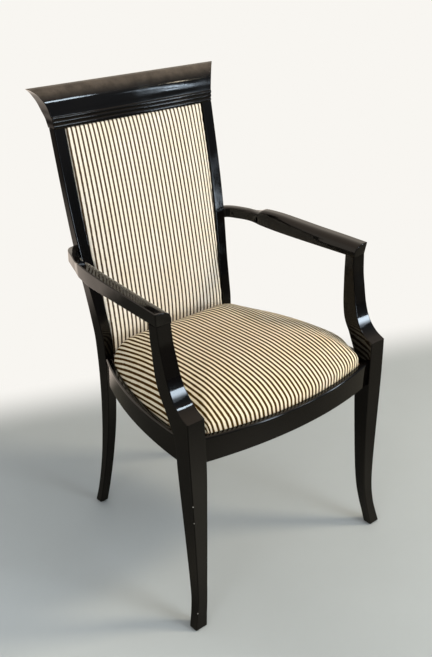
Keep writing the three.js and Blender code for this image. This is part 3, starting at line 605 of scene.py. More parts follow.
class Nodes:
    """Small helper to wire the nodes of a material, a lamp or the world."""

    def __init__(self, owner):
        owner.use_nodes = True
        self.tree = owner.node_tree

    def add(self, kind, inputs=(), **settings):
        """A node of the kind with its settings, fed by sockets or set to values."""
        node = self.tree.nodes.new("ShaderNode" + kind)
        for key, value in settings.items():
            setattr(node, key, value)
        for key, value in dict(inputs).items():
            self.feed(node, key, value)
        return node

    def feed(self, node, key, value):
        """Links a socket to an input, or sets the input's value."""
        if isinstance(value, bpy.types.NodeSocket):
            self.tree.links.new(value, node.inputs[key])
        else:
            node.inputs[key].default_value = value

    def math(self, operation, a, b=0.0, c=0.0):
        """Output of a Math node."""
        return self.add("Math", {0: a, 1: b, 2: c}, operation=operation).outputs[0]

    def noise(self, coords, scale, detail=3.0, roughness=0.5):
        """Output of a Noise Texture at a scale in features a metre."""
        settings = {"Vector": coords, "Scale": scale, "Detail": detail, "Roughness": roughness}
        return self.add("TexNoise", settings).outputs["Fac"]

    def ranged(self, value, low, high, to_low, to_high, smoothly=False):
        """Output of a Map Range node."""
        inputs = {"Value": value, "From Min": low, "From Max": high, "To Min": to_low, "To Max": to_high}
        kind = "SMOOTHSTEP" if smoothly else "LINEAR"
        return self.add("MapRange", inputs, interpolation_type=kind).outputs["Result"]

    def blend(self, share, first, second):
        """Colour output of a Mix node."""
        node = self.add("Mix", data_type="RGBA")
        self.feed(node, "Factor", share)
        self.feed(node, 6, first)
        self.feed(node, 7, second)
        return node.outputs[2]

    def bump(self, height, distance, strength=1.0, normal=None):
        """Normal output of a Bump node."""
        inputs = {"Height": height, "Distance": distance, "Strength": strength}
        if normal is not None:
            inputs["Normal"] = normal
        return self.add("Bump", inputs).outputs["Normal"]


class Finish(Nodes):
    """A new material and its nodes."""

    def __init__(self, name):
        self.material = bpy.data.materials.new(name)
        super().__init__(self.material)
        self.shader = self.tree.nodes["Principled BSDF"]
        self.output = self.tree.nodes["Material Output"]


def rgba(colour):
    """The colour with full alpha."""
    return (*colour, 1.0)


def lacquer_material(settings):
    """Polished black lacquer with slight waves, dust and a painted brownish sheen on the crest's top, and a
    few chips on one front leg.
    """
    n = Finish("black_lacquer")
    coords = n.add("TexCoord").outputs["Object"]
    waves = n.noise(coords, 55.0, 2.0)
    fine = n.noise(coords, 900.0, 2.0)
    dust_and_sheen = n.noise(coords, 260.0, 6.0, 0.7)
    patches = n.noise(coords, 9.0, 4.0)
    tone = n.ranged(patches, 0.3, 0.7, 0.0, 1.0)
    brown = tuple(2.2 * part for part in settings.colour)
    base = n.blend(tone, rgba(settings.colour), rgba(brown))
    chips = None
    broken = n.math("MULTIPLY", n.math("SUBTRACT", n.noise(coords, 1400.0, 3.0), 0.5), CHIP_RAGGED)
    for height, size in LEG_CHIPS:
        outer, _, front, _ = front_leg_at(height)
        middle = (-outer + CHIP_SET_IN, front + CHIP_SET_IN, height)
        spot = n.add("VectorMath", {0: coords, 1: middle}, operation="DISTANCE").outputs["Value"]
        near = n.ranged(n.math("ADD", spot, broken), size * 0.46, size * 0.54, 1.0, 0.0)
        chips = near if chips is None else n.math("MAXIMUM", chips, near)
    # Painted sheen: the top of the crest is painted brownish grey in patches, together with its dust
    height = n.add("SeparateXYZ", {"Vector": coords}).outputs["Z"]
    dust_and_sheen_share = n.math("MULTIPLY", n.ranged(height, *DUST_AND_SHEEN_HEIGHTS, 0.0, 1.0, smoothly=True),
                     n.ranged(n.noise(coords, 24.0, 6.0, 0.7), 0.3, 0.7, 0.3, 1.0))
    with_dust_and_sheen = n.blend(dust_and_sheen_share, base, rgba(settings.dust_and_sheen))
    colour = n.blend(chips, with_dust_and_sheen, rgba(settings.chip))
    smears = n.noise(coords, 17.0, 3.0)
    side = n.add("SeparateXYZ", {"Vector": coords}).outputs["X"]
    haze = n.math("MULTIPLY", n.ranged(smears, 0.45, 0.70, 0.0, 0.13),
                  n.ranged(side, -0.07, 0.05, 0.08, 1.0))
    gloss = n.math("ADD", n.ranged(dust_and_sheen, 0.35, 0.75, settings.roughness, settings.roughness + 0.03), haze)
    rough = n.math("ADD", gloss, n.math("MULTIPLY", chips, 0.6))
    n.feed(n.shader, "Base Color", colour)
    n.feed(n.shader, "Roughness", rough)
    n.feed(n.shader, "Specular IOR Level", 0.27)
    wavy = n.bump(waves, 0.00025, 0.35)
    grain = n.bump(fine, 0.00003, 0.25, wavy)
    n.feed(n.shader, "Normal", n.bump(chips, 0.0004, 0.8, grain))
    return n.material


def cloth_material(settings, name, cream, share, stripe_colour, edge_colour):
    """Cream cloth with dark stripes that follow the cloth's own lengthwise yarns."""
    n = Finish(name)
    parts = n.add("SeparateXYZ", {"Vector": n.add("UVMap", uv_map="cloth").outputs["UV"]})
    across, along = parts.outputs["X"], parts.outputs["Y"]
    flat = n.add("CombineXYZ", {"X": across, "Y": along}).outputs["Vector"]
    wander = n.math("MULTIPLY", n.math("SUBTRACT", n.noise(flat, 320.0, 2.0), 0.5), 0.05)
    beat = n.math("ADD", n.math("DIVIDE", across, settings.period), wander)
    off_centre = n.math("ABSOLUTE", n.math("SUBTRACT", n.math("FRACT", n.math("ADD", beat, 100.0)), 0.5))
    half = share / 2
    stripe = n.ranged(off_centre, half - 0.05, half + 0.02, 1.0, 0.0, smoothly=True)
    bordered = n.ranged(off_centre, half - 0.02, half + 0.07, 1.0, 0.0, smoothly=True)
    full_turn = 2 * math.pi
    warp = n.math("SINE", n.math("MULTIPLY", across, full_turn / settings.yarn))
    weft = n.math("SINE", n.math("MULTIPLY", along, full_turn / (1.6 * settings.yarn)))
    weave = n.math("MULTIPLY", warp, weft)
    slubs = n.noise(n.add("VectorMath", {0: flat, 1: (1.0, 0.12, 1.0)}, operation="MULTIPLY").outputs[0],
                    1500.0, 2.0)
    soil = n.noise(flat, 14.0, 4.0)
    warm = tuple(part * factor for part, factor in zip(cream, (0.97, 0.94, 0.86)))
    ground = n.blend(n.ranged(soil, 0.35, 0.7, 0.0, 1.0), rgba(cream), rgba(warm))
    shaded = n.blend(n.ranged(slubs, 0.3, 0.75, 0.0, 0.35), ground, rgba(tuple(0.82 * c for c in warm)))
    lighter = tuple(2.0 * part for part in stripe_colour)
    dark = n.blend(n.ranged(slubs, 0.35, 0.75, 0.0, 1.0), rgba(stripe_colour), rgba(lighter))
    n.feed(n.shader, "Base Color", n.blend(stripe, n.blend(bordered, shaded, rgba(edge_colour)), dark))
    n.feed(n.shader, "Roughness", n.ranged(stripe, 0.0, 1.0, 0.82, 0.62))
    n.feed(n.shader, "Specular IOR Level", 0.03)
    raised = n.bump(stripe, 0.00018, 0.6)
    n.feed(n.shader, "Normal", n.bump(n.math("ADD", weave, slubs), 0.00012, 0.35, raised))
    return n.material


def wood_material(name, light, dark, along, scale=60.0, plies=0.0):
    """Plain sawn wood with growth rings and pores that run along an axis."""
    n = Finish(name)
    coords = n.add("TexCoord").outputs["Object"]
    stretch = {"X": (0.06, 1.0, 1.0), "Y": (1.0, 0.06, 1.0), "Z": (1.0, 1.0, 0.06)}[along]
    grain = n.add("VectorMath", {0: coords, 1: stretch}, operation="MULTIPLY").outputs[0]
    rings = n.noise(grain, scale, 4.0, 0.6)
    pores = n.noise(grain, scale * 18, 3.0, 0.6)
    colour = n.blend(n.ranged(rings, 0.35, 0.65, 0.0, 1.0), rgba(light), rgba(dark))
    pored = n.blend(n.ranged(pores, 0.55, 0.7, 0.0, 0.5), colour, rgba(tuple(0.55 * c for c in dark)))
    if plies:
        height = n.add("SeparateXYZ", {"Vector": coords}).outputs["Z"]
        layer = n.math("PINGPONG", n.math("DIVIDE", height, plies), 1.0)
        edge = n.ranged(layer, 0.45, 0.55, 0.0, 0.3)
        pored = n.blend(edge, pored, rgba(tuple(0.5 * c for c in dark)))
    n.feed(n.shader, "Base Color", pored)
    n.feed(n.shader, "Roughness", n.ranged(rings, 0.3, 0.7, 0.55, 0.75))
    n.feed(n.shader, "Normal", n.bump(pores, 0.0002, 0.5))
    return n.material


def steel_material():
    """Zinc plated steel with a faint spangle."""
    n = Finish("zinc_steel")
    coords = n.add("TexCoord").outputs["Object"]
    spangle = n.noise(coords, 700.0, 3.0)
    n.feed(n.shader, "Base Color", n.blend(spangle, (0.42, 0.42, 0.41, 1), (0.62, 0.61, 0.58, 1)))
    n.feed(n.shader, "Metallic", 1.0)
    n.feed(n.shader, "Roughness", n.ranged(spangle, 0.3, 0.7, 0.26, 0.42))
    return n.material


def nylon_material():
    """Moulded nylon of the glides, scuffed on the floor."""
    n = Finish("nylon")
    coords = n.add("TexCoord").outputs["Object"]
    scuffs = n.noise(coords, 420.0, 5.0, 0.7)
    n.feed(n.shader, "Base Color", n.blend(n.ranged(scuffs, 0.5, 0.7, 0.0, 1.0),
                                           (0.012, 0.012, 0.012, 1), (0.06, 0.058, 0.055, 1)))
    n.feed(n.shader, "Roughness", n.ranged(scuffs, 0.3, 0.7, 0.4, 0.65))
    n.feed(n.shader, "Normal", n.bump(scuffs, 0.0002, 0.4))
    return n.material


def lining_material():
    """Thin black woven dust cloth."""
    n = Finish("black_lining")
    coords = n.add("TexCoord").outputs["Object"]
    parts = n.add("SeparateXYZ", {"Vector": coords})
    yarn = 0.0012
    warp = n.math("SINE", n.math("MULTIPLY", parts.outputs["X"], 2 * math.pi / yarn))
    weft = n.math("SINE", n.math("MULTIPLY", parts.outputs["Y"], 2 * math.pi / yarn))
    weave = n.math("MULTIPLY", warp, weft)
    lint = n.noise(coords, 240.0, 5.0, 0.7)
    n.feed(n.shader, "Base Color", n.blend(n.ranged(lint, 0.45, 0.75, 0.0, 1.0),
                                           (0.016, 0.015, 0.014, 1), (0.05, 0.046, 0.042, 1)))
    n.feed(n.shader, "Roughness", n.ranged(lint, 0.3, 0.7, 0.85, 0.95))
    n.feed(n.shader, "Normal", n.bump(weave, 0.0002, 0.6))
    return n.material


BEECH = ((0.58, 0.37, 0.2), (0.44, 0.26, 0.13))
PLYWOOD = ((0.5, 0.33, 0.19), (0.37, 0.23, 0.12))
# Edges of the stripes, painted warmer on the seat and paler on the back for the different light on each
SEAT_STRIPE_EDGE = (0.42, 0.26, 0.08)
BACK_STRIPE_EDGE = (0.52, 0.46, 0.36)
_materials = {}


def material(name):
    """The chair's material of that name, made the first time it is asked for."""
    if name not in _materials:
        scene = bpy.context.scene
        cloth = scene.chair_cloth
        makers = {
            "lacquer": lambda: lacquer_material(scene.chair_lacquer),
            # The seat's and the back's cloths are one cloth, in two copies painted for the light on each
            "seat_cloth": lambda: cloth_material(
                cloth, "striped_seat_cloth", cloth.cream, cloth.share, cloth.stripe, SEAT_STRIPE_EDGE),
            "back_cloth": lambda: cloth_material(
                cloth, "striped_back_cloth", cloth.brightly_lit_back_cream, cloth.back_share, cloth.brightly_lit_back_stripe,
                BACK_STRIPE_EDGE),
            "beech": lambda: wood_material("beech", *BEECH, "X"),
            "dowel": lambda: wood_material("beech_dowel", *BEECH, "Z"),
            "plywood": lambda: wood_material("plywood", *PLYWOOD, "Y", scale=30.0, plies=0.0015),
            "steel": steel_material,
            "nylon": nylon_material,
            "lining": lining_material,
        }
        _materials[name] = makers[name]()
    return _materials[name]


# Legs and posts

def limb_rings(section_at, heights, radius, foot):
    """Rings of an upright member, its foot eased where it ends."""
    levels = []
    for i in range(5):
        angle = math.pi / 2 * i / 5
        height = heights[0] + foot * (1 - math.sin(math.pi / 2 - angle))
        levels.append((height, foot * (1 - math.sin(angle))))
    levels += [(height, 0.0) for height in heights if height > heights[0] + foot]
    rings = []
    for height, inset in levels:
        outer, inner, front, back = section_at(height)
        points = eased_rectangle(outer - inner, back - front, radius, inset)
        centre_x, centre_y = (outer + inner) / 2, (front + back) / 2
        rings.append([(centre_x + x, centre_y + y, height) for x, y in points])
    return rings


class CHAIR_OT_legs(bpy.types.Operator):
    """Makes the sabre legs, with the arm posts and the back stiles that run on from them"""

    bl_idname = "chair.legs"
    bl_label = "Legs, posts and stiles"

    def execute(self, context):
        radius = context.scene.chair_lacquer.arris
        below = np.linspace(GLIDE_THICKNESS, SHOULDER_HEIGHT, 90)
        steps = (np.linspace(0, 1, 80) ** 1.6)[1:]
        above = SHOULDER_HEIGHT + steps * (ARM_UNDERSIDE - FIT_GAP - SHOULDER_HEIGHT)
        rings = limb_rings(post_at, [*below, *above], radius, FOOT_EASE)
        place_pair(ring_mesh("front_limb", rings), "front_limb", material("lacquer"),
                   ["front_leg", "arm_post"])
        heights = list(np.linspace(GLIDE_THICKNESS, CREST_BASE - FIT_GAP, 170))
        rings = limb_rings(rear_leg_at, heights, radius, FOOT_EASE)
        place_pair(ring_mesh("rear_limb", rings), "rear_limb", material("lacquer"),
                   ["rear_leg"])
        return {"FINISHED"}


# Arms

def arm_path(points, share):
    """Point and direction at a share of a smooth curve through the points, as the frame's arm follows."""
    last = len(points) - 1
    spot = share * last
    i = min(int(spot), last - 1)
    weight = spot - i
    p1, p2 = points[i], points[i + 1]
    p0 = points[i - 1] if i > 0 else 2 * points[0] - points[1]
    p3 = points[i + 2] if i + 2 <= last else 2 * points[last] - points[last - 1]
    d0, d1, d2 = (max(np.sum((b - a) ** 2) ** 0.25, 1e-9) for a, b in ((p0, p1), (p1, p2), (p2, p3)))
    t1 = ((p1 - p0) / d0 - (p2 - p0) / (d0 + d1) + (p2 - p1) / d1) * d1
    t2 = ((p2 - p1) / d1 - (p3 - p1) / (d1 + d2) + (p3 - p2) / d2) * d1
    c2 = -3 * p1 + 3 * p2 - 2 * t1 - t2
    c3 = 2 * p1 - 2 * p2 + t1 + t2
    spot = p1 + t1 * weight + c2 * weight ** 2 + c3 * weight ** 3
    ahead = t1 + 2 * c2 * weight + 3 * c3 * weight ** 2
    return spot, ahead / np.linalg.norm(ahead)


def arm_section(width, bottom, top, radius, inset):
    """Arm section with a crisp outer edge and a round inner side, as (out, up) points."""
    widening = (width - NECK_WIDTH) / (ARM_WIDTH - NECK_WIDTH)
    lean = ARM_OUTER_LEAN * max(widening, 0.0)
    drop = (top - bottom) * mix(NECK_ROUND_SHARE, PAD_ROUND_SHARE, widening)
    flat_end = width * ARM_FLAT_SHARE
    corners = [(-width / 2, bottom), (width / 2, bottom), (width / 2 + lean, top)]
    arch = []
    steps = 24
    for i in range(steps + 1):
        angle = math.pi / 2 * (1 + i / steps)
        across = flat_end + (width / 2 + flat_end) * math.cos(angle)
        arch.append((across, top - drop + drop * math.sin(angle)))
    return eased_outline(corners + arch, {0: radius, 1: radius, 2: radius * 0.9}, inset)


def eased_outline(shape, radii, inset):
    """The anticlockwise outline, drawn in by the inset, with the corners named in radii rounded."""
    points = []
    count = len(shape)
    for i, spot in enumerate(shape):
        here = np.array(spot)
        before, after = np.array(shape[i - 1]), np.array(shape[(i + 1) % count])
        first, second = here - before, after - here
        first, second = first / np.linalg.norm(first), second / np.linalg.norm(second)
        inward = np.array((-first[1] - second[1], first[0] + second[0]))
        inward = inward / max(np.linalg.norm(inward), 1e-9)
        if i not in radii:
            points.append(here + inward * inset)
            continue
        radius = radii[i]
        half = math.acos(max(-1.0, min(1.0, float(first @ second)))) / 2
        centre = here + inward * radius / math.cos(half)
        kept = max(radius - inset, 0.0001)
        start = math.atan2(-first[0], first[1])
        arc = [centre + kept * np.array((math.cos(angle), math.sin(angle)))
               for angle in (start + 2 * half * k / 5 for k in range(6))]
        points += [arc[0] - FLAT_MARGIN * first, *arc, arc[-1] + FLAT_MARGIN * second]
    return points


class CHAIR_OT_arms(bpy.types.Operator):
    """Makes the two arms, which sweep out of the stiles and widen into pads"""

    bl_idname = "chair.arms"
    bl_label = "Arms"

    def execute(self, context):
        radius = context.scene.chair_lacquer.arris
        outer, inner, _, _ = rear_leg_at(ARM_UNDERSIDE + NECK_LIFT + NECK_HEIGHT / 2)
        middle, end = (outer + inner) / 2, POST_TOP_HALF - POST[0] / 2
        knots = [np.array((mix(middle, end, out), BACK_REACH * reach + ORIGIN_SHIFT))
                 for reach, out, *_ in ARM_SHARES]
        stretches = len(ARM_SHARES) - 1
        rows = [(i / stretches, *row[2:]) for i, row in enumerate(ARM_SHARES)]
        shares = [share for share in np.linspace(0, 1, 150)
                  if arm_path(knots, share)[0][0] > middle + ARM_ROOT]
        tail = [(1.0, math.pi / 2 * k / 5) for k in range(1, 6)]
        rings = []
        for share, ease in [*((share, 0.0) for share in shares), *tail]:
            spot, ahead = arm_path(knots, share)
            width = mix(NECK_WIDTH, ARM_WIDTH, column(rows, 1, share))
            bottom, top = NECK_LIFT * column(rows, 2, share), ARM_HEIGHT * column(rows, 3, share)
            lean = ARM_TIP_LEAN * max(0.0, 1 - stretches * (1 - share))
            back = ARM_END_ROUND * (1.0 - math.sin(ease) if share == 1.0 else 0.0)
            section = arm_section(width, bottom, top, radius, ARM_END_ROUND * (1 - math.cos(ease)))
            ring = []
            for x, z in section:
                rise = min(z / top, 1.0)
                into = (back - lean * rise) * rise
                ring.append((spot[0] - ahead[1] * x, spot[1] + ahead[0] * x + into, ARM_UNDERSIDE + z))
            rings.append(ring)
        place_pair(ring_mesh("arm_rest", rings), "arm_rest", material("lacquer"), ["arm"])
        return {"FINISHED"}


# Crest rail

def crest_at(height):
    """Half width, front and back of the crest rail."""
    share = (height - CREST_BASE) / CREST_HEIGHT
    cove = smooth(COVE_SHARES, share)
    reed = (height - CREST_BASE) / REED_BAND
    bulge = REED_PROUD * abs(math.sin(math.pi * reed * REED_COUNT)) if reed < 1 else 0.0
    outer, _, front, _ = rear_leg_at(CREST_BASE)
    tip = BACK_REACH + ORIGIN_SHIFT
    return (mix(outer - CREST_SET_IN, CREST_TIP_HALF, cove),
            mix(front, tip - CREST_TIP_WALL, cove) - bulge,
            mix(front + CREST_THICKNESS, tip, smooth(CREST_BACK_SHARES, share)))


class CHAIR_OT_crest(bpy.types.Operator):
    """Makes the crest rail with its reeds, its cove and its flared ends"""

    bl_idname = "chair.crest"
    bl_label = "Crest rail"

    def execute(self, context):
        radius = context.scene.chair_lacquer.arris * 0.7
        reeds = CREST_BASE + np.linspace(0, REED_BAND, REED_COUNT * 16 + 1)
        rise = CREST_HEIGHT - REED_BAND
        bends = OVERALL_HEIGHT - rise * (1 - np.linspace(0, 1, 90)[1:]) ** 1.5
        levels = [(height, 0.0) for height in [*reeds, *bends] if height < OVERALL_HEIGHT - CREST_EASE]
        levels += [(OVERALL_HEIGHT - CREST_EASE * (1 - math.sin(math.pi / 2 * k / 5)),
                    CREST_EASE * (1 - math.cos(math.pi / 2 * k / 5))) for k in range(6)]
        rings = []
        for height, inset in levels:
            half, front, back = crest_at(height)
            points = eased_rectangle(2 * half, back - front, radius, inset)
            rings.append([(x, (front + back) / 2 + y, height) for x, y in points])
        place(ring_mesh("crest", rings), "crest", material("lacquer"), ["crest_rail"])
        return {"FINISHED"}


# Rails

def rail_section(arch, radius):
    """Rail section as (inwards from its face, up) points, with a bead along its top edge."""
    bottom = RAIL_TOP - RAIL_DEPTH + arch
    shape = [
        (0.0, bottom), (RAIL_THICKNESS, bottom), (RAIL_THICKNESS, REBATE_HEIGHT),
        (RAIL_LEDGE, REBATE_HEIGHT), (RAIL_LEDGE, RAIL_TOP), (0.0, RAIL_TOP),
    ]
    return eased_outline(shape, {0: radius, 1: radius, 4: radius * 0.5, 5: BEAD_RADIUS}, 0.0)


def front_rail_mesh(radius):
    """Front rail, bowed forward and arched along its lower edge."""
    half = FRONT_LEG_AT_RAIL[1] + INTO_FRONT_LEG
    rings = []
    for x in np.linspace(-half, half, 81):
        section = rail_section(RAIL_ARCH * (1 - (x / half) ** 2), radius)
        rings.append([(x, front_rail_face(x) + into, z) for into, z in section])
    return ring_mesh("rail_front", rings)


def side_rail_mesh(radius):
    """Side rail on the sitter's left, bowed outward and arched along its lower edge."""
    first, last = FRONT_LEG_AT_RAIL[3] - INTO_FRONT_LEG, REAR_LEG_AT_RAIL[2] + INTO_REAR_LEG
    middle = (first + last) / 2
    rings = []
    for y in np.linspace(first, last, 81):
        section = rail_section(RAIL_ARCH * (1 - ((y - middle) / (last - middle)) ** 2), radius)
        rings.append([(side_rail_face(y) - into, y, z) for into, z in section])
    return ring_mesh("rail_side", rings)


def rear_rail_mesh(radius):
    """Straight rail between the rear legs, whose top is level with the ledges of the other rails."""
    half = REAR_LEG_AT_RAIL[1] + REAR_RAIL_INTO_LEG
    bottom, depth = RAIL_TOP - RAIL_DEPTH, REBATE_HEIGHT - RAIL_TOP + RAIL_DEPTH
    section = eased_rectangle(RAIL_THICKNESS - 2 * FIT_GAP, depth, radius)
    centre = (REAR_RAIL_FRONT + REAR_LEG_AT_RAIL[3] - 2 * FIT_GAP) / 2
    rings = [[(x, centre + y, bottom + depth / 2 + z) for y, z in section]
             for x in np.linspace(-half, half, 9)]
    return ring_mesh("rail_rear", rings)


def back_rail_mesh(radius):
    """Lower rail of the back, behind the foot of the back's panel, with its long edges eased."""
    rings = []
    low, tall = BACK_RAIL
    steps = 30
    for i in range(steps + 1):
        height = low + tall * i / steps
        from_end = min(i, steps - i)
        inset = radius * (1 - math.sqrt(1 - (1 - from_end / 2) ** 2)) if from_end < 2 else 0
        _, inner, stile_front, stile_back = rear_leg_at(height)
        front = stile_front + PANEL_SET_IN + PANEL_THICKNESS + FIT_GAP
        back = stile_back - 2 * FIT_GAP
        points = eased_rectangle(2 * (inner + INTO_REAR_LEG), back - front, radius, inset)
        rings.append([(x, (front + back) / 2 + y, height) for x, y in points])
    return ring_mesh("rail_back", rings)


class CHAIR_OT_rails(bpy.types.Operator):
    """Makes the bowed front and side rails, the rear rail and the lower rail of the back"""

    bl_idname = "chair.rails"
    bl_label = "Rails"

    def execute(self, context):
        radius = context.scene.chair_lacquer.arris
        lacquer = material("lacquer")
        place(front_rail_mesh(radius), "rail_front", lacquer, ["front_rail"])
        place_pair(side_rail_mesh(radius), "rail_side", lacquer, ["side_rail"])
        place(rear_rail_mesh(radius), "rail_rear", lacquer, ["rear_rail"])
        place(back_rail_mesh(radius), "rail_back", lacquer, ["back_rail"])
        return {"FINISHED"}


# Upholstery

def seat_outline(inset):
    """Outline of the seat inside the rails, anticlockwise from the front left, eased at its corners."""
    front_half = FRONT_LEG_AT_RAIL[1] - CORNER_SET_IN - inset
    side_from = FRONT_LEG_AT_RAIL[3] + CORNER_RUN + inset
    side_to = CUSHION_BACK - RAIL_LEDGE - inset
    back_half = REAR_LEG_AT_RAIL[1] - RAIL_LEDGE / 2 - inset
    front = [(x, front_rail_face(x) + RAIL_LEDGE + inset) for x in np.linspace(-front_half, front_half, 60)]
    side = [(side_rail_face(y) - RAIL_LEDGE - inset, y) for y in np.linspace(side_from, side_to, 60)]
    right = [*side, (back_half, CUSHION_BACK - inset)]
    left = [(-x, y) for x, y in right][::-1]
    corners = np.array([*front, *right, *left])
    closed = np.vstack([corners, corners[:1]])
    lengths = np.concatenate([[0.0], np.cumsum(np.linalg.norm(np.diff(closed, axis=0), axis=1))])
    count = 360
    spots = np.linspace(0.0, lengths[-1], count, endpoint=False)
    even = np.stack([np.interp(spots, lengths, closed[:, k]) for k in (0, 1)], axis=1)
    reach = int(round(SEAT_CORNER_ROUND / (lengths[-1] / count)))
    kernel = np.hanning(2 * reach + 3)[1:-1]
    kernel /= kernel.sum()
    padded = np.vstack([even[-reach:], even, even[:reach]])
    return np.stack([np.convolve(padded[:, k], kernel, "valid") for k in (0, 1)], axis=1)


def cushion_rings(inset, lift, bottom):
    """Rings of the domed cushion from its foot to its crown."""
    outline = seat_outline(inset)
    nose = front_rail_face(0.0)
    last = len(CUSHION_SHARES) - 1
    rows = [(i / last, *row) for i, row in enumerate(CUSHION_SHARES)]
    rings = []
    for share in np.linspace(0, 1, 70):
        size, rise, centre_share = (column(rows, k, share) for k in (1, 2, 3))
        centre = np.array((0.0, mix(nose, CUSHION_BACK, centre_share)))
        height = RAIL_TOP + CUSHION_RISE * rise + lift if share > 0 else bottom
        flat = centre + (outline - centre) * size
        rings.append(np.column_stack([flat, np.full(len(flat), height)]))
    centre = np.array((0.0, mix(nose, CUSHION_BACK, CUSHION_SHARES[-1][2])))
    for size in (0.06, 0.02):
        flat = centre + (outline - centre) * size
        rings.append(np.column_stack([flat, np.full(len(flat), rings[-1][0][2] + 0.00002)]))
    return rings


def ring_faces(rings, length):
    """Four-sided faces between neighbouring rings, over the first points of each."""
    count = len(rings[0])
    return [(low + i, low + (i + 1) % count, low + count + (i + 1) % count, low + count + i)
            for low in range(0, (len(rings) - 1) * count, count) for i in range(length)]


def dome_rows(points, faces):
    """Rows across the dome from front to back, and how far over on the cloth each of their spots lies."""
    tree = BVHTree.FromPolygons([tuple(p) for p in points], faces)
    lows, highs = points.min(0), points.max(0)
    ys = np.arange(lows[1] - CLOTH_ROW, highs[1] + CLOTH_ROW, CLOTH_ROW)
    xs = np.arange(-CLOTH_HALF_WIDTH, CLOTH_HALF_WIDTH + 0.0001, CLOTH_SPOT)
    down = Vector((0, 0, -1))
    missed = Vector((0, 0, np.nan))
    rows = []
    for y in ys:
        heights = np.array([(tree.ray_cast(Vector((x, y, 1.0)), down)[0] or missed).z for x in xs])
        known = ~np.isnan(heights)
        if known.sum() < 5:
            rows.append(None)
            continue
        across = xs[known]
        run = np.concatenate([[0.0], np.cumsum(np.hypot(np.diff(across), np.diff(heights[known])))])
        run -= np.interp(0.0, across, run)
        rows.append((across, run))
    valid = [i for i, row in enumerate(rows) if row is not None]
    return ys, [rows[min(max(i, valid[0]), valid[-1])] for i in range(len(rows))]


def seat_cloth_places(rings):
    """Where each point of the cushion's rings lies on the cloth: across and along, in metres."""
    mesh_points = np.vstack(rings)
    count = len(rings[0])
    top = (len(rings) - 1) * count
    faces = [*ring_faces(rings, count), tuple(range(top, top + count))]
    ys, rows = dome_rows(mesh_points, faces)
    slack = 0.004
    wall_top = RAIL_TOP + CUSHION_WALL * CUSHION_RISE - slack
    wall = next(i for i, ring in enumerate(rings) if ring[0][2] >= wall_top)
    across = np.zeros((len(rings), count))
    for r in range(wall, len(rings)):
        for i, (x, y, _) in enumerate(rings[r]):
            row = (y - ys[0]) / CLOTH_ROW
            low = min(max(int(row), 0), len(ys) - 2)
            values = [np.interp(x, *rows[low + k]) for k in (0, 1)]
            across[r, i] = mix(values[0], values[1], min(max(row - low, 0.0), 1.0))
    along = np.zeros((len(rings), count))
    along[wall:] = np.array([ring[:, 1] for ring in rings[wall:]])
    for r in range(wall - 1, -1, -1):
        ring, above = rings[r], rings[r + 1]
        tangent = np.roll(ring, -1, axis=0) - np.roll(ring, 1, axis=0)
        outward = np.column_stack([tangent[:, 1], -tangent[:, 0]])
        outward /= np.linalg.norm(outward, axis=1)[:, None]
        step = ring - above
        slant = np.hypot((step[:, :2] * outward).sum(1), step[:, 2])
        across[r] = across[r + 1] + (1 - np.abs(outward[:, 0])) * step[:, 0] + outward[:, 0] * slant
        along[r] = along[r + 1] + outward[:, 1] * slant
    return mesh_points, faces, np.column_stack([across.ravel(), along.ravel()])


def lay_cloth(mesh, points, faces, places, shift, stretch=1.0):
    """Gives the mesh a UV map named cloth, read from the nearest spot of a surface of known places.

    The shift moves the stripes sideways, and the stretch spreads them as the cloth was pulled.
    """
    places = places / (stretch, 1.0) + (shift, 0.0)
    triangles = []
    for face in faces:
        triangles += [(face[0], face[k], face[k + 1]) for k in range(1, len(face) - 1)]
    tree = BVHTree.FromPolygons([tuple(p) for p in points], triangles)
    found = np.zeros((len(mesh.vertices), 2))
    for i, vert in enumerate(mesh.vertices):
        spot, _, index, _ = tree.find_nearest(vert.co)
        a, b, c = (np.array(points[k]) for k in triangles[index])
        v0, v1, v2 = b - a, c - a, np.array(spot) - a
        d00, d01, d11, d20, d21 = v0 @ v0, v0 @ v1, v1 @ v1, v2 @ v0, v2 @ v1
        area = max(d00 * d11 - d01 * d01, 1e-18)
        second, third = (d11 * d20 - d01 * d21) / area, (d00 * d21 - d01 * d20) / area
        ids = triangles[index]
        found[i] = (1 - second - third) * places[ids[0]] + second * places[ids[1]] + third * places[ids[2]]
    layer = mesh.uv_layers.new(name="cloth")
    corners = np.zeros(len(mesh.loops), int)
    mesh.loops.foreach_get("vertex_index", corners)
    layer.uv.foreach_set("vector", found[corners].astype(np.float32).ravel())


def remeshed(mesh, name, voxel):
    """The closed mesh as one even skin of small squares."""
    helper = helper_object(name + "_helper", mesh)
    grid = helper.modifiers.new("even", "REMESH")
    grid.mode, grid.voxel_size, grid.use_smooth_shade = "VOXEL", voxel, True
    even = evaluated_copy(helper, name)
    drop(helper)
    return even


def evened(mesh, step, rounds=40):
    """The moves of the mesh's points, each drawn towards those of its neighbours again and again."""
    ends = np.zeros(len(mesh.edges) * 2, int)
    mesh.edges.foreach_get("vertices", ends)
    first, second = ends.reshape(-1, 2).T
    neighbours = np.bincount(ends, minlength=len(step))[:, None]
    for _ in range(rounds):
        total = np.zeros_like(step)
        np.add.at(total, first, step[second])
        np.add.at(total, second, step[first])
        step = 0.5 * step + 0.5 * total / neighbours
    return step


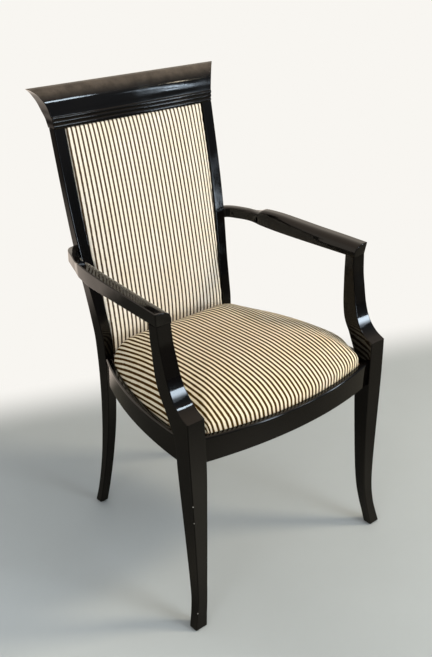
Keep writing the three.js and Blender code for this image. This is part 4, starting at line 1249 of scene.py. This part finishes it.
def stuffed(mesh, name, held, pressure, most):
    """The mesh after it was inflated as cloth, held where it is fixed and moved by at most the limit."""
    helper = helper_object(name + "_helper", mesh)
    group = helper.vertex_groups.new(name="held")
    group.add([i for i, vert in enumerate(mesh.vertices) if held(vert.co)], 1.0, "REPLACE")
    cloth = helper.modifiers.new("cloth", "CLOTH")
    cloth.settings.quality = 5
    cloth.settings.mass = 0.3
    cloth.settings.tension_stiffness = cloth.settings.compression_stiffness = 25.0
    cloth.settings.shear_stiffness = 8.0
    cloth.settings.bending_stiffness = 4.0
    cloth.settings.vertex_group_mass = "held"
    cloth.settings.use_pressure = True
    cloth.settings.uniform_pressure_force = pressure
    cloth.settings.effector_weights.gravity = 0.0
    frames = 20
    cloth.point_cache.frame_start, cloth.point_cache.frame_end = 1, frames
    for number in range(1, frames + 1):
        bpy.context.scene.frame_set(number)
    moved = evaluated_copy(helper, name)
    drop(helper)
    bpy.context.scene.frame_set(1)
    start = np.zeros(len(mesh.vertices) * 3)
    end = np.zeros(len(mesh.vertices) * 3)
    mesh.vertices.foreach_get("co", start)
    moved.vertices.foreach_get("co", end)
    start, step = start.reshape(-1, 3), (end - start).reshape(-1, 3)
    step = evened(mesh, step)
    length = np.linalg.norm(step, axis=1)
    share = most * np.tanh(length / most) / np.maximum(length, 1e-9)
    mesh.vertices.foreach_set("co", (start + step * share[:, None]).ravel())
    return mesh


def subdivided(mesh, name, levels=1):
    """The mesh with finer, smoother faces."""
    helper = helper_object(name + "_helper", mesh)
    finer = helper.modifiers.new("finer", "SUBSURF")
    finer.levels = finer.render_levels = levels
    finer.uv_smooth = "NONE"
    made = evaluated_copy(helper, name)
    drop(helper)
    made.shade_smooth()
    return made


class CHAIR_OT_seat_pad(bpy.types.Operator):
    """Makes the domed seat pad: inflated as cloth, with the stripes running from front to back"""

    bl_idname = "chair.seat_pad"
    bl_label = "Seat pad"

    def execute(self, context):
        settings = context.scene.chair_pads
        swell = settings.seat_swell * SWELL_START
        rings = cushion_rings(SEAT_CLEARANCE + SEAT_EASE, COVER_LIFT - swell, BOARD_BOTTOM)
        skin = ring_mesh("seat_base", rings)
        even = remeshed(skin, "seat_pad_skin", settings.voxel)
        lay_cloth(even, *seat_cloth_places(rings), SEAT_STRIPE_SHIFT, SEAT_STRETCH)

        def held(co):
            return co.z < RAIL_TOP + SEAT_HELD

        pad = stuffed(even, "seat_pad", held, settings.pressure, settings.seat_swell)
        piece = place(subdivided(pad, "seat_pad"), "seat_pad", material("seat_cloth"),
                      ["seat_cover", "seat_foam"])
        return {"FINISHED"}


def panel_at(height):
    """Half width and face of the back board."""
    _, inner, front, _ = rear_leg_at(height)
    return inner - PANEL_CLEARANCE, front + PANEL_SET_IN


def back_pad_sections(lift):
    """Sections of the back pad from its foot to its top, with their places on the cloth.

    The last value is the number of faces across its front.
    """
    bottom, top = PANEL_BOTTOM - CLOTH_TURN, CREST_BASE - PANEL_CLEARANCE
    steps = 60
    rings, places = [], []
    for height in np.linspace(bottom, top, 130):
        half, face = panel_at(height)
        share = (height - PANEL_BOTTOM) / (CREST_BASE - PANEL_BOTTOM)
        crown = PANEL_CROWN * (1 - abs(2 * share - 1) ** 2.4)
        spots = np.sin(np.linspace(-math.pi / 2, math.pi / 2, steps + 1))
        front = [(half * spot, face - PANEL_EDGE - crown * (1 - abs(spot) ** 8) - lift) for spot in spots]
        back = face + PANEL_THICKNESS - FIT_GAP
        ring = np.array([*front, *((half * share_out, back) for share_out in (1.0, 0.5, 0.0, -0.5, -1.0))])
        lengths = np.linalg.norm(np.diff(ring[:steps + 1], axis=0), axis=1)
        run = np.concatenate([[0.0], np.cumsum(lengths)])
        run -= run[-1] / 2
        side = abs(ring[steps + 1][1] - ring[steps][1])
        across = [*run, run[-1] + side, run[-1] + side, 0.0, run[0] - side, run[0] - side]
        rings.append(np.column_stack([ring, np.full(len(ring), height)]))
        places.append(np.column_stack([across, np.full(len(ring), height)]))
    return rings, places, steps


class CHAIR_OT_back_pad(bpy.types.Operator):
    """Makes the upholstered back pad: inflated as cloth, with upright stripes"""

    bl_idname = "chair.back_pad"
    bl_label = "Back pad"

    def execute(self, context):
        settings = context.scene.chair_pads
        swell = settings.back_swell * SWELL_START
        rings, places, shown = back_pad_sections(COVER_LIFT - swell)
        skin = ring_mesh("back_base", rings)
        even = remeshed(skin, "back_pad_skin", settings.voxel)
        lay_cloth(even, np.vstack(rings), ring_faces(rings, shown), np.vstack(places), BACK_STRIPE_SHIFT)

        def held(co):
            half, face = panel_at(co.z)
            return co.y > face - BACK_HELD[0] or abs(co.x) > half - BACK_HELD[1]

        pad = stuffed(even, "back_pad", held, settings.pressure, settings.back_swell)
        piece = place(subdivided(pad, "back_pad"), "back_pad", material("back_cloth"),
                      ["back_cover", "back_foam"])
        return {"FINISHED"}


def rear_cover_sections():
    """Sections of the rear cover from its foot to its top, with their places on the cloth."""
    bottom, top = sum(BACK_RAIL) + FIT_GAP, CREST_BASE - PANEL_CLEARANCE
    thickness, crown = REAR_COVER
    edge_round = 0.0012
    ends = ((0.0, 0.0014), (0.0005, 0.0005), (0.0014, 0.0))
    levels = [(bottom + up, inset) for up, inset in ends]
    levels += [(height, 0.0) for height in np.linspace(bottom + 0.004, top - 0.004, 80)]
    levels += [(top - up, inset) for up, inset in ends[::-1]]
    rings, places = [], []
    for height, inset in levels:
        half, face = panel_at(height)
        half, front = half - inset, face + PANEL_THICKNESS + FIT_GAP
        swell = crown * (1 - abs(2 * (height - bottom) / (top - bottom) - 1) ** 6)
        ring = [(-half, front), (half, front)]
        for spot in np.sin(np.linspace(math.pi / 2, -math.pi / 2, 61)):
            rise = swell * (1 - spot ** 4) - edge_round * abs(spot) ** 40
            ring.append((half * spot, front + thickness + rise - inset))
        ring = np.array(ring)
        rings.append(np.column_stack([ring, np.full(len(ring), height)]))
        places.append(np.column_stack([ring[:, 0], np.full(len(ring), height)]))
    return rings, places


class CHAIR_OT_rear_cover(bpy.types.Operator):
    """Makes the striped cover on the back of the backrest"""

    bl_idname = "chair.rear_cover"
    bl_label = "Rear cover"

    def execute(self, context):
        rings, places = rear_cover_sections()
        mesh = ring_mesh("cover_rear", rings)
        faces = ring_faces(rings, len(rings[0]))
        lay_cloth(mesh, np.vstack(rings), faces, np.vstack(places), BACK_STRIPE_SHIFT)
        place(mesh, "cover_rear", material("back_cloth"), ["rear_cover"])
        return {"FINISHED"}


class CHAIR_OT_underside(bpy.types.Operator):
    """Makes the dust cloth under the seat"""

    bl_idname = "chair.underside"
    bl_label = "Dust cloth"

    def execute(self, context):
        outline = seat_outline(SEAT_CLEARANCE + LINING_SET_IN)
        centre = outline.mean(0)
        top = BOARD_BOTTOM - FIT_GAP
        bottom = top - LINING_THICKNESS
        rings = [np.column_stack([outline, np.full(len(outline), level)]) for level in (top, bottom)]
        for size in np.linspace(1.0, 0.02, 40)[1:]:
            flat = centre + (outline - centre) * size
            waves = np.array([noise.noise(Vector((x * 30, y * 30, 0.0))) for x, y in flat])
            sag = LINING_SAG * (1 - size ** 2) * (0.6 + 0.4 * waves)
            rings.append(np.column_stack([flat, bottom - sag]))
        place(ring_mesh("dust_cloth", rings, 60), "dust_cloth", material("lining"),
              ["seat_lining"])
        return {"FINISHED"}


def repeat_tree():
    """Geometry nodes that stand a piece on every point, along one way and facing another."""
    tree = bpy.data.node_groups.new("repeat_on_points", "GeometryNodeTree")
    sockets = {}
    inputs = (("Points", "Geometry"), ("Piece", "Object"), ("Turn", "Float"), ("Seed", "Int"),
              ("Material", "Material"))
    for name, kind in inputs:
        socket = tree.interface.new_socket(name=name, in_out="INPUT", socket_type="NodeSocket" + kind)
        sockets[name] = socket.identifier
    tree.interface.new_socket(name="Geometry", in_out="OUTPUT", socket_type="NodeSocketGeometry")

    def add(kind, **settings):
        node = tree.nodes.new(kind)
        for key, value in settings.items():
            setattr(node, key, value)
        return node

    start, end = add("NodeGroupInput"), add("NodeGroupOutput")
    piece = add("GeometryNodeObjectInfo")
    along = add("GeometryNodeInputNamedAttribute", data_type="FLOAT_VECTOR")
    along.inputs["Name"].default_value = "along"
    facing = add("GeometryNodeInputNamedAttribute", data_type="FLOAT_VECTOR")
    facing.inputs["Name"].default_value = "facing"
    upright = add("FunctionNodeAlignRotationToVector", axis="Z")
    faced = add("FunctionNodeAlignRotationToVector", axis="X", pivot_axis="Z")
    chance = add("FunctionNodeRandomValue", data_type="FLOAT")
    spin = add("FunctionNodeAxisAngleToRotation")
    turned = add("FunctionNodeRotateRotation", rotation_space="LOCAL")
    stand = add("GeometryNodeInstanceOnPoints")
    solid, painted = add("GeometryNodeRealizeInstances"), add("GeometryNodeSetMaterial")

    def outlet(node, kind):
        return next(socket for socket in node.outputs if socket.enabled and socket.type == kind)

    spread = next(socket for socket in chance.inputs if socket.enabled and socket.name == "Max")
    links = (
        (start.outputs["Points"], stand.inputs["Points"]), (start.outputs["Piece"], piece.inputs["Object"]),
        (piece.outputs["Geometry"], stand.inputs["Instance"]),
        (outlet(along, "VECTOR"), upright.inputs["Vector"]),
        (upright.outputs[0], faced.inputs["Rotation"]), (outlet(facing, "VECTOR"), faced.inputs["Vector"]),
        (start.outputs["Turn"], spread), (start.outputs["Seed"], chance.inputs["Seed"]),
        (outlet(chance, "VALUE"), spin.inputs["Angle"]),
        (faced.outputs[0], turned.inputs["Rotation"]), (spin.outputs[0], turned.inputs["Rotate By"]),
        (turned.outputs[0], stand.inputs["Rotation"]),
        (stand.outputs[0], solid.inputs[0]), (solid.outputs[0], painted.inputs["Geometry"]),
        (start.outputs["Material"], painted.inputs["Material"]), (painted.outputs[0], end.inputs[0]),
    )
    for source, target in links:
        tree.links.new(source, target)
    return tree, sockets


def repeated(name, piece_mesh, places, turn, seed, finish):
    """One mesh of the piece stood at every place, which is (spot, along, facing)."""
    tree, sockets = repeat_tree()
    spots, alongs, facings = zip(*places)
    points = bpy.data.meshes.new(name + "_points")
    points.from_pydata(spots, [], [])
    for key, ways in (("along", alongs), ("facing", facings)):
        layer = points.attributes.new(key, "FLOAT_VECTOR", "POINT")
        layer.data.foreach_set("vector", np.array(ways, np.float32).ravel())
    pattern = helper_object(name + "_pattern", piece_mesh)
    carrier = helper_object(name + "_carrier", points)
    modifier = carrier.modifiers.new("repeat", "NODES")
    modifier.node_group = tree
    for key, value in (("Piece", pattern), ("Turn", turn), ("Seed", seed), ("Material", finish)):
        modifier[sockets[key]] = value
    bpy.context.view_layer.update()
    mesh = evaluated_copy(carrier, name)
    drop(carrier)
    drop(pattern)
    bpy.data.node_groups.remove(tree)
    return finished(mesh)


def screw_mesh(length):
    """A pan head screw with a cross recess and a thread; its head starts at zero and its tip points up."""
    sectors = 48
    circle = [(math.cos(2 * math.pi * i / sectors), math.sin(2 * math.pi * i / sectors))
              for i in range(sectors)]
    rings = []
    slot, reach, depth = 0.00046, 0.0020, 0.0013
    for radius in np.linspace(0.00012, 0.0023, 15):
        sunk = depth * (1 - 0.35 * radius / reach)
        ring = [(radius * x, radius * y) for x, y in circle]
        rings.append([(x, y, sunk if min(abs(x), abs(y)) < slot and max(abs(x), abs(y)) < reach else 0.0)
                      for x, y in ring])
    head = ((0.0030, 0.0001), (0.0036, 0.0004), (0.0040, 0.0009), (0.0042, 0.0016), (0.0042, 0.0023),
            (0.0041, 0.0024), (0.0020, 0.00245))
    for radius, height in head:
        rings.append([(radius * x, radius * y, height) for x, y in circle])
    core, thread, pitch, start, tip = 0.00145, 0.0005, 0.0016, 0.0034, 0.004
    for height in np.arange(start, length - 0.0004, pitch / 5):
        taper = min(1.0, (length - height) / tip)
        ring = []
        for i, (x, y) in enumerate(circle):
            phase = (height / pitch + i / sectors) % 1.0
            radius = taper * (core + thread * max(0.0, 1 - abs(phase - 0.5) / 0.22))
            ring.append((radius * x, radius * y, height))
        rings.append(ring)
    return ring_mesh("screw", rings, 28)


def staple_mesh():
    """The crown of a staple with its bent ends; the crown runs upwards and the legs point along X."""
    rings = []
    half, leg, gauge, half_width, bend = 0.0052, 0.0018, 0.0003, 0.0006, 0.0006
    path = [(leg, -half)] + [(bend * (1 - math.sin(a)), -half + bend * (1 - math.cos(a)))
                             for a in np.linspace(0, math.pi / 2, 6)]
    path += [(x, -z) for x, z in path[::-1]]
    for i, (x, z) in enumerate(path):
        before, after = path[max(i - 1, 0)], path[min(i + 1, len(path) - 1)]
        run = np.array((after[0] - before[0], after[1] - before[1]))
        run /= np.linalg.norm(run)
        ring = []
        for k in range(10):
            angle = 2 * math.pi * k / 10
            off, wide = gauge * math.cos(angle), half_width * math.sin(angle)
            ring.append((x + run[1] * off, wide, z - run[0] * off))
        rings.append(ring)
    return ring_mesh("staple", rings)


def frame_screws():
    """The frame's screws, and the way that each is driven."""
    ways = {"cross": (0, 1, 0), "side": (1, 0, 0), "seat": (0, 0, 1)}
    return {name: ways[kind] for name in NODES for kind in ways
            if name.endswith(("_left", "_right")) and f"_{kind}_screw" in name}


def screw_place(name, way):
    """Length of a screw of the frame, and where its head is, its way and its facing."""
    low, high = (np.array(corner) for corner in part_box(name))
    way = np.array(way, float)
    middle = (low + high) / 2
    upright = way[2] != 0
    if not upright:
        way *= math.copysign(1.0, middle @ way)
    length = float(abs((high - low) @ way))
    facing = (1.0, 0.0, 0.0) if upright else (0.0, 0.0, 1.0)
    return length, (tuple(middle - way * length / 2), tuple(way), facing)


def staple_places():
    """Where the staples of the dust cloth stand: a row along its edge that leaves out the corner blocks."""
    blocks = [[np.array(corner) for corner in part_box(name)] for name in NODES if "corner_block" in name]
    outline = seat_outline(STAPLE_INSET)
    closed = np.vstack([outline, outline[:1]])
    runs = np.concatenate([[0.0], np.cumsum(np.linalg.norm(np.diff(closed, axis=0), axis=1))])
    level = BOARD_BOTTOM - LINING_THICKNESS - STAPLE_DROP

    def at(run):
        return np.array([np.interp(run % runs[-1], runs, closed[:, k]) for k in (0, 1)])

    places = []
    for run in np.linspace(0, runs[-1], int(runs[-1] / STAPLE_STEP), endpoint=False):
        spot = at(run)
        ahead = at(run + 0.004) - spot
        ahead /= np.linalg.norm(ahead)
        if any(np.all(low[:2] - STAPLE_ROOM < spot) and np.all(spot < high[:2] + STAPLE_ROOM)
               for low, high in blocks):
            continue
        places.append(((*spot, level), (*ahead, 0.0), (0.0, 0.0, 1.0)))
    return places


class CHAIR_OT_fasteners(bpy.types.Operator):
    """Makes the screws of the corner blocks and of the seat, and the staples of the dust cloth"""

    bl_idname = "chair.fasteners"
    bl_label = "Screws and staples"

    def execute(self, context):
        steel = material("steel")
        screws = frame_screws()
        whole = bmesh.new()
        for upright in (False, True):
            placed = [screw_place(name, way) for name, way in screws.items() if (way[2] != 0) == upright]
            lengths, places = zip(*placed)
            screw = screw_mesh(lengths[-1])
            whole.from_mesh(repeated("screws", screw, places, turn=math.pi / 2, seed=7, finish=steel))
        joined = bpy.data.meshes.new("screw_set")
        whole.to_mesh(joined)
        whole.free()
        place(finished(joined), "screw_set", steel, list(screws))
        staples = repeated("staple_row", staple_mesh(), staple_places(), turn=0.0, seed=3, finish=steel)
        place(staples, "staple_row", steel, [])
        return {"FINISHED"}


class CHAIR_OT_inner_pieces(bpy.types.Operator):
    """Gives the blocks, boards, screws, dowels and glides of the frame their materials"""

    bl_idname = "chair.inner_pieces"
    bl_label = "Inner pieces"

    def execute(self, context):
        finishes = {
            "corner_block": "beech", "cleat": "beech", "dowel": "dowel", "board": "plywood",
            "screw": "steel", "glide": "nylon",
        }
        for name, node in NODES.items():
            if node.hide_render:
                continue
            kinds = [finish for word, finish in finishes.items() if word in name]
            if not kinds:
                raise RuntimeError(f"no finish is named for {name}")
            node.data.materials.clear()
            node.data.materials.append(material(kinds[0]))
        return {"FINISHED"}


# Studio

def pattern_lamp(data, pattern):
    """Fades a mirrored window towards its top, or breaks it up like clouds with soft edges."""
    n = Nodes(data)
    on_pane = n.add("NewGeometry").outputs["Parametric"]
    parts = n.add("SeparateXYZ", {0: on_pane}).outputs
    if pattern == "fading":
        strength = n.ranged(parts["Y"], 0.25, 0.75, 1.0, 0.10, smoothly=True)
    else:
        puffs = n.noise(on_pane, 3.2, 4.0, 0.6)
        strength = n.ranged(puffs, 0.42, 0.68, 0.05, 1.0, smoothly=True)
        for part in (parts["X"], parts["Y"]):
            off_centre = n.math("ABSOLUTE", n.math("SUBTRACT", part, 0.5))
            edge = n.ranged(off_centre, 0.25, 0.5, 1.0, 0.0, smoothly=True)
            strength = n.math("MULTIPLY", strength, edge)
    n.feed(n.tree.nodes["Emission"], "Strength", strength)


def area_light(name, spot, aim, size, power, colour, only_mirrored=False):
    """A soft rectangular lamp at a spot, turned to an aim, which may show only in the lacquer."""
    data = bpy.data.lights.new(name, "AREA")
    data.shape, data.size, data.size_y = "RECTANGLE", *size
    data.energy, data.color = power, colour
    lamp = bpy.data.objects.new(name, data)
    bpy.context.scene.collection.objects.link(lamp)
    lamp.location = spot
    lamp.rotation_euler = (Vector(aim) - Vector(spot)).to_track_quat("-Z", "Y").to_euler()
    lamp.visible_glossy, lamp.visible_diffuse = only_mirrored, not only_mirrored
    return lamp


def plain_floor(settings):
    """A wide floor in one pale colour, painted up to 22 percent lighter towards -X, which turns into the
    background far from the chair.

    The lacquer mirrors it warmer, darker away from the chair's front, and with a bright side behind.
    """
    mesh = bpy.data.meshes.new("floor")
    corners = [(x * FLOOR_REACH, y * FLOOR_REACH, 0) for x, y in ((-1, -1), (1, -1), (1, 1), (-1, 1))]
    mesh.from_pydata(corners, [], [(0, 1, 2, 3)])
    floor = bpy.data.objects.new("floor", mesh)
    bpy.context.scene.collection.objects.link(floor)
    n = Finish("floor")
    coords = n.add("TexCoord").outputs["Object"]
    side = n.add("SeparateXYZ", {"Vector": coords}).outputs["X"]
    path = n.add("LightPath").outputs
    in_mirror = path["Is Glossy Ray"]

    tone = n.ranged(n.noise(coords, 2.2, 5.0, 0.6), 0.3, 0.7, 0.97, 1.03)
    # Painted light: outside the lacquer's mirror the floor is painted up to 22 percent lighter towards -X
    tone_and_painted_light = n.math("MULTIPLY", tone, n.ranged(side, -0.55, -0.1, 1.22, 1.0, smoothly=True))
    from_front = n.add("VectorMath", {0: coords, 1: (0.0, -0.5, 0.0)}, operation="DISTANCE").outputs["Value"]
    mirrored_level = n.ranged(from_front, 0.12, 0.6, 0.95, 0.38, smoothly=True)
    level = n.ranged(in_mirror, 0.0, 1.0, tone_and_painted_light, mirrored_level)
    tint = n.blend(in_mirror, rgba(settings.floor), (0.52, 0.49, 0.40, 1.0))
    colour = n.add("VectorMath", {0: tint, "Scale": level}, operation="SCALE").outputs[0]
    n.feed(n.shader, "Base Color", colour)
    n.feed(n.shader, "Roughness", 0.6)
    n.feed(n.shader, "Specular IOR Level", 0.2)

    away = n.add("VectorMath", {0: coords}, operation="LENGTH").outputs["Value"]
    way_back = {0: coords, 1: (*BACKDROP_WAY, 0.0)}
    back = n.add("VectorMath", way_back, operation="DOT_PRODUCT").outputs["Value"]
    far = n.math("MAXIMUM", n.ranged(away, 1.2, 2.6, 0.0, 1.0, smoothly=True),
                 n.ranged(back, BACKDROP_FROM, BACKDROP_FROM + 0.26, 0.0, 1.0, smoothly=True))
    behind = n.ranged(back, BACKDROP_FROM + 0.13, BACKDROP_FROM + 0.3, 0.0, 1.0, smoothly=True)
    direct = n.math("MAXIMUM", path["Is Camera Ray"], path["Is Transmission Ray"])
    backdrop = n.math("MAXIMUM", n.math("MULTIPLY", far, direct), n.math("MULTIPLY", in_mirror, behind))
    bright_side = n.ranged(side, -1.5, -0.8, 0.15 * settings.bright_side, settings.bright_side)
    brightness = n.ranged(in_mirror, 0.0, 1.0, 1.0, bright_side)
    shade = n.blend(in_mirror, rgba(settings.background), (1.0, 0.86, 0.74, 1.0))
    glow = n.add("Emission", {"Color": shade, "Strength": brightness}).outputs[0]
    faded = n.add("MixShader", {0: backdrop, 1: n.shader.outputs[0], 2: glow}).outputs[0]
    n.feed(n.output, "Surface", faded)
    mesh.materials.append(n.material)


def studio_world(settings):
    """Even daylight; the lacquer mirrors a bright side behind the chair, a ceiling and a dim front."""
    world = bpy.data.worlds.new("studio")
    bpy.context.scene.world = world
    n = Nodes(world)
    n.tree.nodes.clear()

    def background(colour, strength=1.0):
        return n.add("Background", {"Color": rgba(colour), "Strength": strength}).outputs[0]

    def mixed(share, first, second):
        return n.add("MixShader", {0: share, 1: first, 2: second}).outputs[0]

    parts = n.add("SeparateXYZ", {0: n.add("TexCoord").outputs["Generated"]}).outputs
    dusk = n.ranged(parts["Z"], 0.03, 0.15, 0.25 * settings.dusk, settings.dusk)
    room = background((0.78, 0.88, 1.0), dusk)
    bright_side = background((0.98, 0.87, 0.74), settings.bright_side)
    ceiling = background((0.80, 0.66, 0.54), settings.ceiling)
    to_back = n.ranged(parts["Y"], -0.15, 0.35, 0.0, 1.0, smoothly=True)
    to_top = n.ranged(parts["Z"], 0.55, 0.85, 0.0, 1.0, smoothly=True)
    mirrored_room = mixed(to_top, mixed(to_back, room, bright_side), ceiling)
    path = n.add("LightPath").outputs
    daylight = background((0.97, 0.985, 1.0), settings.daylight)
    lit = mixed(path["Is Glossy Ray"], daylight, mirrored_room)
    direct = n.math("MAXIMUM", path["Is Camera Ray"], path["Is Transmission Ray"])
    seen = mixed(direct, lit, background(settings.background))
    n.feed(n.add("OutputWorld"), "Surface", seen)


class CHAIR_OT_stage(bpy.types.Operator):
    """Makes the floor, the lamps, the background and the camera"""

    bl_idname = "chair.stage"
    bl_label = "Studio"

    def execute(self, context):
        settings = context.scene.chair_stage
        plain_floor(settings)
        studio_world(settings)
        for name, spot, aim, size, power, colour in LAMPS:
            area_light(name, spot, aim, size, getattr(settings, power), colour)
        for name, pattern, spot, aim, size, power, colour in MIRRORED_WINDOWS:
            window = area_light(name, spot, aim, size, power, colour, only_mirrored=True)
            if pattern != "plain":
                pattern_lamp(window.data, pattern)
        data = bpy.data.cameras.new("camera")
        data.sensor_width, data.lens = 36.0, settings.lens
        data.clip_start, data.clip_end = 0.05, 60.0
        camera = bpy.data.objects.new("camera", data)
        context.scene.collection.objects.link(camera)
        spot = Vector(CAMERA_SPOT)
        turn = (Vector(CAMERA_AIM) - spot).to_track_quat("-Z", "Y").to_matrix()
        roll = Matrix.Rotation(math.radians(CAMERA_ROLL), 3, "Z")
        camera.matrix_world = Matrix.Translation(spot) @ (turn @ roll).to_4x4()
        context.scene.camera = camera
        context.scene.view_settings.view_transform = "Standard"
        return {"FINISHED"}


class CHAIR_PT_panel(bpy.types.Panel):
    """Lists the settings and the pieces of the chair"""

    bl_idname = "CHAIR_PT_panel"
    bl_label = "Klismos armchair"
    bl_space_type = "VIEW_3D"
    bl_region_type = "UI"
    bl_category = "Chair"

    def draw(self, context):
        layout = self.layout
        for name in SETTINGS:
            group = getattr(context.scene, name)
            box = layout.box()
            for key in group.__annotations__:
                box.prop(group, key)
        for operator in OPERATORS:
            layout.operator(operator.bl_idname)


SETTINGS = {
    "chair_lacquer": LacquerSettings,
    "chair_cloth": ClothSettings,
    "chair_pads": PadSettings,
    "chair_stage": StageSettings,
}
OPERATORS = (
    CHAIR_OT_legs,
    CHAIR_OT_arms,
    CHAIR_OT_crest,
    CHAIR_OT_rails,
    CHAIR_OT_seat_pad,
    CHAIR_OT_back_pad,
    CHAIR_OT_rear_cover,
    CHAIR_OT_underside,
    CHAIR_OT_fasteners,
    CHAIR_OT_inner_pieces,
    CHAIR_OT_stage,
)


def register():
    """Registers the settings, the operators and the panel."""
    for name, group in SETTINGS.items():
        bpy.utils.register_class(group)
        setattr(bpy.types.Scene, name, bpy.props.PointerProperty(type=group))
    for cls in (*OPERATORS, CHAIR_PT_panel):
        bpy.utils.register_class(cls)


def unregister():
    """Removes the panel, the operators and the settings."""
    for cls in (CHAIR_PT_panel, *reversed(OPERATORS)):
        bpy.utils.unregister_class(cls)
    for name, group in SETTINGS.items():
        delattr(bpy.types.Scene, name)
        bpy.utils.unregister_class(group)


def main():
    """Builds the chair and its studio."""
    register()
    for operator in OPERATORS:
        group, name = operator.bl_idname.split(".")
        getattr(getattr(bpy.ops, group), name)()


if __name__ == "__main__":
    main()
